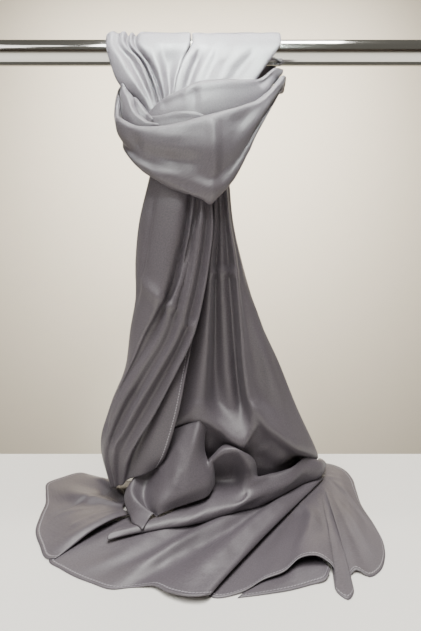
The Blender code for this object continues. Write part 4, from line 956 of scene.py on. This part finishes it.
def hem_places(grid, edge):
    """For each point, how far it lies along a hem and how far in from it, in metres."""
    along, across = lengths(grid, 0), lengths(grid, 1)
    if edge == "first column":
        return along, across
    if edge == "last column":
        return along, across[:, -1:] - across
    return along, np.full(along.shape, NO_HEM)


def cloth_piece(name):
    """A thin shell of cloth on its solid's form, which it replaces."""
    stole = bpy.context.scene.stole
    grid = cloth_grids()[name]
    rows, columns = grid.shape[:2]
    mesh = bpy.data.meshes.new("cloth_" + name)
    faces = sheet_faces(rows, columns)
    mesh.from_pydata([tuple(p * MM) for p in grid.reshape(-1, 3)], [], faces)
    corners = np.array(faces).reshape(-1)
    for layer, (first, second) in (("weave", (lengths(grid, 1), lengths(grid, 0))),
                                   ("hem", hem_places(grid, HEMS.get(name)))):
        spread = np.stack([first.reshape(-1)[corners], second.reshape(-1)[corners]], axis=1)
        mesh.uv_layers.new(name=layer).data.foreach_set("uv", spread.reshape(-1).astype(np.float32))
    mesh.shade_smooth()
    made = bpy.data.objects.new("cloth_" + name, mesh)
    bpy.context.scene.collection.objects.link(made)
    mesh.materials.append(shared("satin", woven_satin))
    bpy.ops.object.select_all(action="DESELECT")
    bpy.context.view_layer.objects.active = made
    made.select_set(True)
    shell = made.modifiers.new("cloth thickness", "SOLIDIFY")
    shell.thickness = stole.wall
    shell.offset = 0.0
    bpy.ops.object.modifier_apply(modifier=shell.name)
    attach(made, "root")
    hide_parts(*(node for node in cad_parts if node.startswith(name)))


def lay(*names):
    """Makes the named stretches one after another, and ends an operator."""
    for name in names:
        cloth_piece(name)
    return {"FINISHED"}


# The stage: its places and sizes are in metres.

PHOTO_HEIGHT = 631
FOCAL_PIXELS = 421
SENSOR_HEIGHT = 36.0
CAMERA_PLACE = (0.0115, -0.494, -0.219)
NEAR_CLIP = 0.01
COUNTER_WIDTH = 8.0
COUNTER_DEPTH = 3.0

BOARDS = (
    # name, place, what it faces, width, height, colour
    ("far wall", (0.0, 2.6, 0.4), (0.0, 0.0, 0.4), 9.0, 5.0, "ded5c4"),
    ("shelf behind the camera", (0.0, -1.6, 0.12), (0.0, 0.0, 0.0), 5.0, 0.75, "2e2620"),
)

LIGHTS = (
    # name, place, what it faces, side, power in watts, colour, and a narrow beam's width in degrees
    ("wall wash", (0.0, 1.3, 0.6), (0.0, 2.6, -0.5), 2.4, 138.0, "fff9ee"),
    ("light on the legs", (0.02, -0.40, 0.37), (0.0, -0.01, 0.10), 0.22, 2.6, "f4fff9", 31.0),
    ("window above", (-0.12, -0.78, 0.86), (0.0, -0.02, -0.1), 0.5, 10.0, "fffefa"),
    ("window left", (-0.9, -0.9, 0.7), (0.0, 0.0, -0.3), 0.7, 5.0, "fffdf8"),
    ("ceiling", (0.1, -0.25, 1.7), (0.0, -0.25, -0.5), 1.0, 74.0, "fffdf8"),
)


def studio_light(name, place, target, size, power, shade, spread=180.0):
    """A square soft light that points at a target, its beam as wide as `spread` in degrees."""
    lamp = bpy.data.lights.new(name, "AREA")
    lamp.size = size
    lamp.energy = power
    lamp.spread = math.radians(spread)
    lamp.color = linear(shade)[:3]
    made = bpy.data.objects.new(name, lamp)
    made.location = place
    made.rotation_euler = (Vector(target) - Vector(place)).to_track_quat("-Z", "Y").to_euler()
    bpy.context.scene.collection.objects.link(made)


def counter():
    """The pale counter: a flat board whose back edge stands just behind the stole."""
    stage = bpy.context.scene.stole_stage
    bpy.ops.object.select_all(action="DESELECT")
    bpy.ops.mesh.primitive_plane_add(size=1.0)
    made = bpy.context.object
    made.name = "counter"
    made.scale = (COUNTER_WIDTH, COUNTER_DEPTH, 1.0)
    made.location = (0.0, stage.counter_back - COUNTER_DEPTH / 2, COUNTER_LEVEL * MM)
    bpy.ops.object.transform_apply(location=True, rotation=True, scale=True)
    made.data.materials.append(painted_board("counter laminate moulded", "f3f1ec", 0.4))


def board(name, place, target, width, height, shade):
    """A painted board that faces a target: part of the room, out of the picture or far behind."""
    bpy.ops.object.select_all(action="DESELECT")
    bpy.ops.mesh.primitive_plane_add(size=1.0)
    made = bpy.context.object
    made.name = name
    made.scale = (width, height, 1.0)
    made.location = place
    made.rotation_euler = (Vector(target) - Vector(place)).to_track_quat("Z", "Y").to_euler()
    bpy.ops.object.transform_apply(location=False, rotation=False, scale=True)
    made.data.materials.append(painted_board(name + " painted", shade, 0.6))


def room():
    """Soft warm light from a pale room."""
    stage = bpy.context.scene.stole_stage
    world = bpy.data.worlds.new("pale room")
    bpy.context.scene.world = world
    world.use_nodes = True
    tree = world.node_tree
    tree.nodes["Background"].inputs["Color"].default_value = linear("d9d5ca")
    tree.nodes["Background"].inputs["Strength"].default_value = stage.room_light


def camera():
    """The camera at the photograph's angle, pitched a little down."""
    stage = bpy.context.scene.stole_stage
    lens = bpy.data.cameras.new("camera")
    lens.sensor_fit = "VERTICAL"
    lens.sensor_height = SENSOR_HEIGHT
    lens.lens = stage.lens
    lens.clip_start = NEAR_CLIP
    made = bpy.data.objects.new("camera", lens)
    made.location = CAMERA_PLACE
    made.rotation_euler = (math.radians(90) - stage.pitch, 0.0, 0.0)
    bpy.context.scene.collection.objects.link(made)
    bpy.context.scene.camera = made


# Settings, operators and panel

class StoleSettings(bpy.types.PropertyGroup):
    """Sizes and colours of the cloth."""

    wall: FloatProperty(
        name="Cloth thickness", description="Thickness of the satin as drawn",
        default=0.0008, min=0.0003, max=0.002, unit="LENGTH")
    pale: FloatVectorProperty(
        name="Pale grey", description="The paler of the satin's two greys, as sRGB",
        default=(0.360, 0.339, 0.364), size=3, min=0.0, max=1.0, subtype="COLOR_GAMMA")
    dark: FloatVectorProperty(
        name="Dark grey", description="The darker of the satin's two greys, as sRGB",
        default=(0.290, 0.271, 0.294), size=3, min=0.0, max=1.0, subtype="COLOR_GAMMA")


class StageSettings(bpy.types.PropertyGroup):
    """The camera, the light and the counter."""

    lens: FloatProperty(
        name="Lens", description="Focal length on a 36 mm high sensor, in millimetres",
        default=SENSOR_HEIGHT * FOCAL_PIXELS / PHOTO_HEIGHT, min=10.0, max=100.0)
    pitch: FloatProperty(
        name="Pitch", description="How far the camera looks down",
        default=math.radians(8.0), subtype="ANGLE")
    counter_back: FloatProperty(
        name="Counter's back edge", description="How far the counter reaches behind the rail",
        default=0.077, unit="LENGTH")
    room_light: FloatProperty(
        name="Room light", description="Strength of the soft light all round",
        default=0.24, min=0.0, max=5.0)


class STOLE_OT_rail(bpy.types.Operator):
    """Gives the rail its chrome finish."""

    bl_idname = "stole.rail"
    bl_label = "Rail"

    def execute(self, context):
        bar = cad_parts["rail"]
        bar.data.materials.clear()
        bar.data.materials.append(shared("chrome", polished_chrome))
        return {"FINISHED"}


class STOLE_OT_legs(bpy.types.Operator):
    """Drapes the two legs over the rail."""

    bl_idname = "stole.legs"
    bl_label = "Legs over the rail"

    def execute(self, context):
        return lay("leg_left", "leg_right")


class STOLE_OT_wrap(bpy.types.Operator):
    """Lays the wrap and its inner folds across the throat."""

    bl_idname = "stole.wrap"
    bl_label = "Wrap and inner folds"

    def execute(self, context):
        return lay("band_inner", "band_outer", "fold_crescent", "fold_first", "fold_second")


class STOLE_OT_tails(bpy.types.Operator):
    """Hangs the two tails."""

    bl_idname = "stole.tails"
    bl_label = "Tails"

    def execute(self, context):
        return lay("tail_left", "tail_right")


class STOLE_OT_heap(bpy.types.Operator):
    """Gathers the standing lobe and the long roll in front of the tails."""

    bl_idname = "stole.heap"
    bl_label = "Heap"

    def execute(self, context):
        return lay("heap_lobe", "heap_roll")


class STOLE_OT_spread(bpy.types.Operator):
    """Spreads the cloth that lies on the counter."""

    bl_idname = "stole.spread"
    bl_label = "Cloth on the counter"

    def execute(self, context):
        return lay("hem_turned", "panel_right", "panel_front", "panel_left")


class STOLE_OT_stage(bpy.types.Operator):
    """Sets up the counter, the soft light and the camera."""

    bl_idname = "stole.stage"
    bl_label = "Stage"

    def execute(self, context):
        camera()
        counter()
        room()
        for row in BOARDS:
            board(*row)
        for row in LIGHTS:
            studio_light(*row)
        return {"FINISHED"}


class STOLE_PT_panel(bpy.types.Panel):
    """Lists the stole's settings and its steps."""

    bl_idname = "STOLE_PT_panel"
    bl_label = "Evening stole"
    bl_space_type = "VIEW_3D"
    bl_region_type = "UI"
    bl_category = "Stole"

    def draw(self, context):
        for group in (context.scene.stole, context.scene.stole_stage):
            for name in group.bl_rna.properties.keys():
                if name not in ("rna_type", "name"):
                    self.layout.prop(group, name)
        for step in STEPS:
            self.layout.operator(step.bl_idname)


STEPS = (STOLE_OT_rail, STOLE_OT_legs, STOLE_OT_wrap, STOLE_OT_tails, STOLE_OT_heap,
         STOLE_OT_spread, STOLE_OT_stage)
CLASSES = (StoleSettings, StageSettings, *STEPS, STOLE_PT_panel)


def register():
    """Adds the settings, operators and panel."""
    for cls in CLASSES:
        bpy.utils.register_class(cls)
    bpy.types.Scene.stole = PointerProperty(type=StoleSettings)
    bpy.types.Scene.stole_stage = PointerProperty(type=StageSettings)


def unregister():
    """Removes the settings, operators and panel."""
    del bpy.types.Scene.stole_stage
    del bpy.types.Scene.stole
    for cls in reversed(CLASSES):
        bpy.utils.unregister_class(cls)


def main():
    """Runs every step in order."""
    register()
    bpy.ops.stole.rail()
    bpy.ops.stole.legs()
    bpy.ops.stole.wrap()
    bpy.ops.stole.tails()
    bpy.ops.stole.heap()
    bpy.ops.stole.spread()
    bpy.ops.stole.stage()
    bpy.context.view_layer.update()


if __name__ == "__main__":
    main()
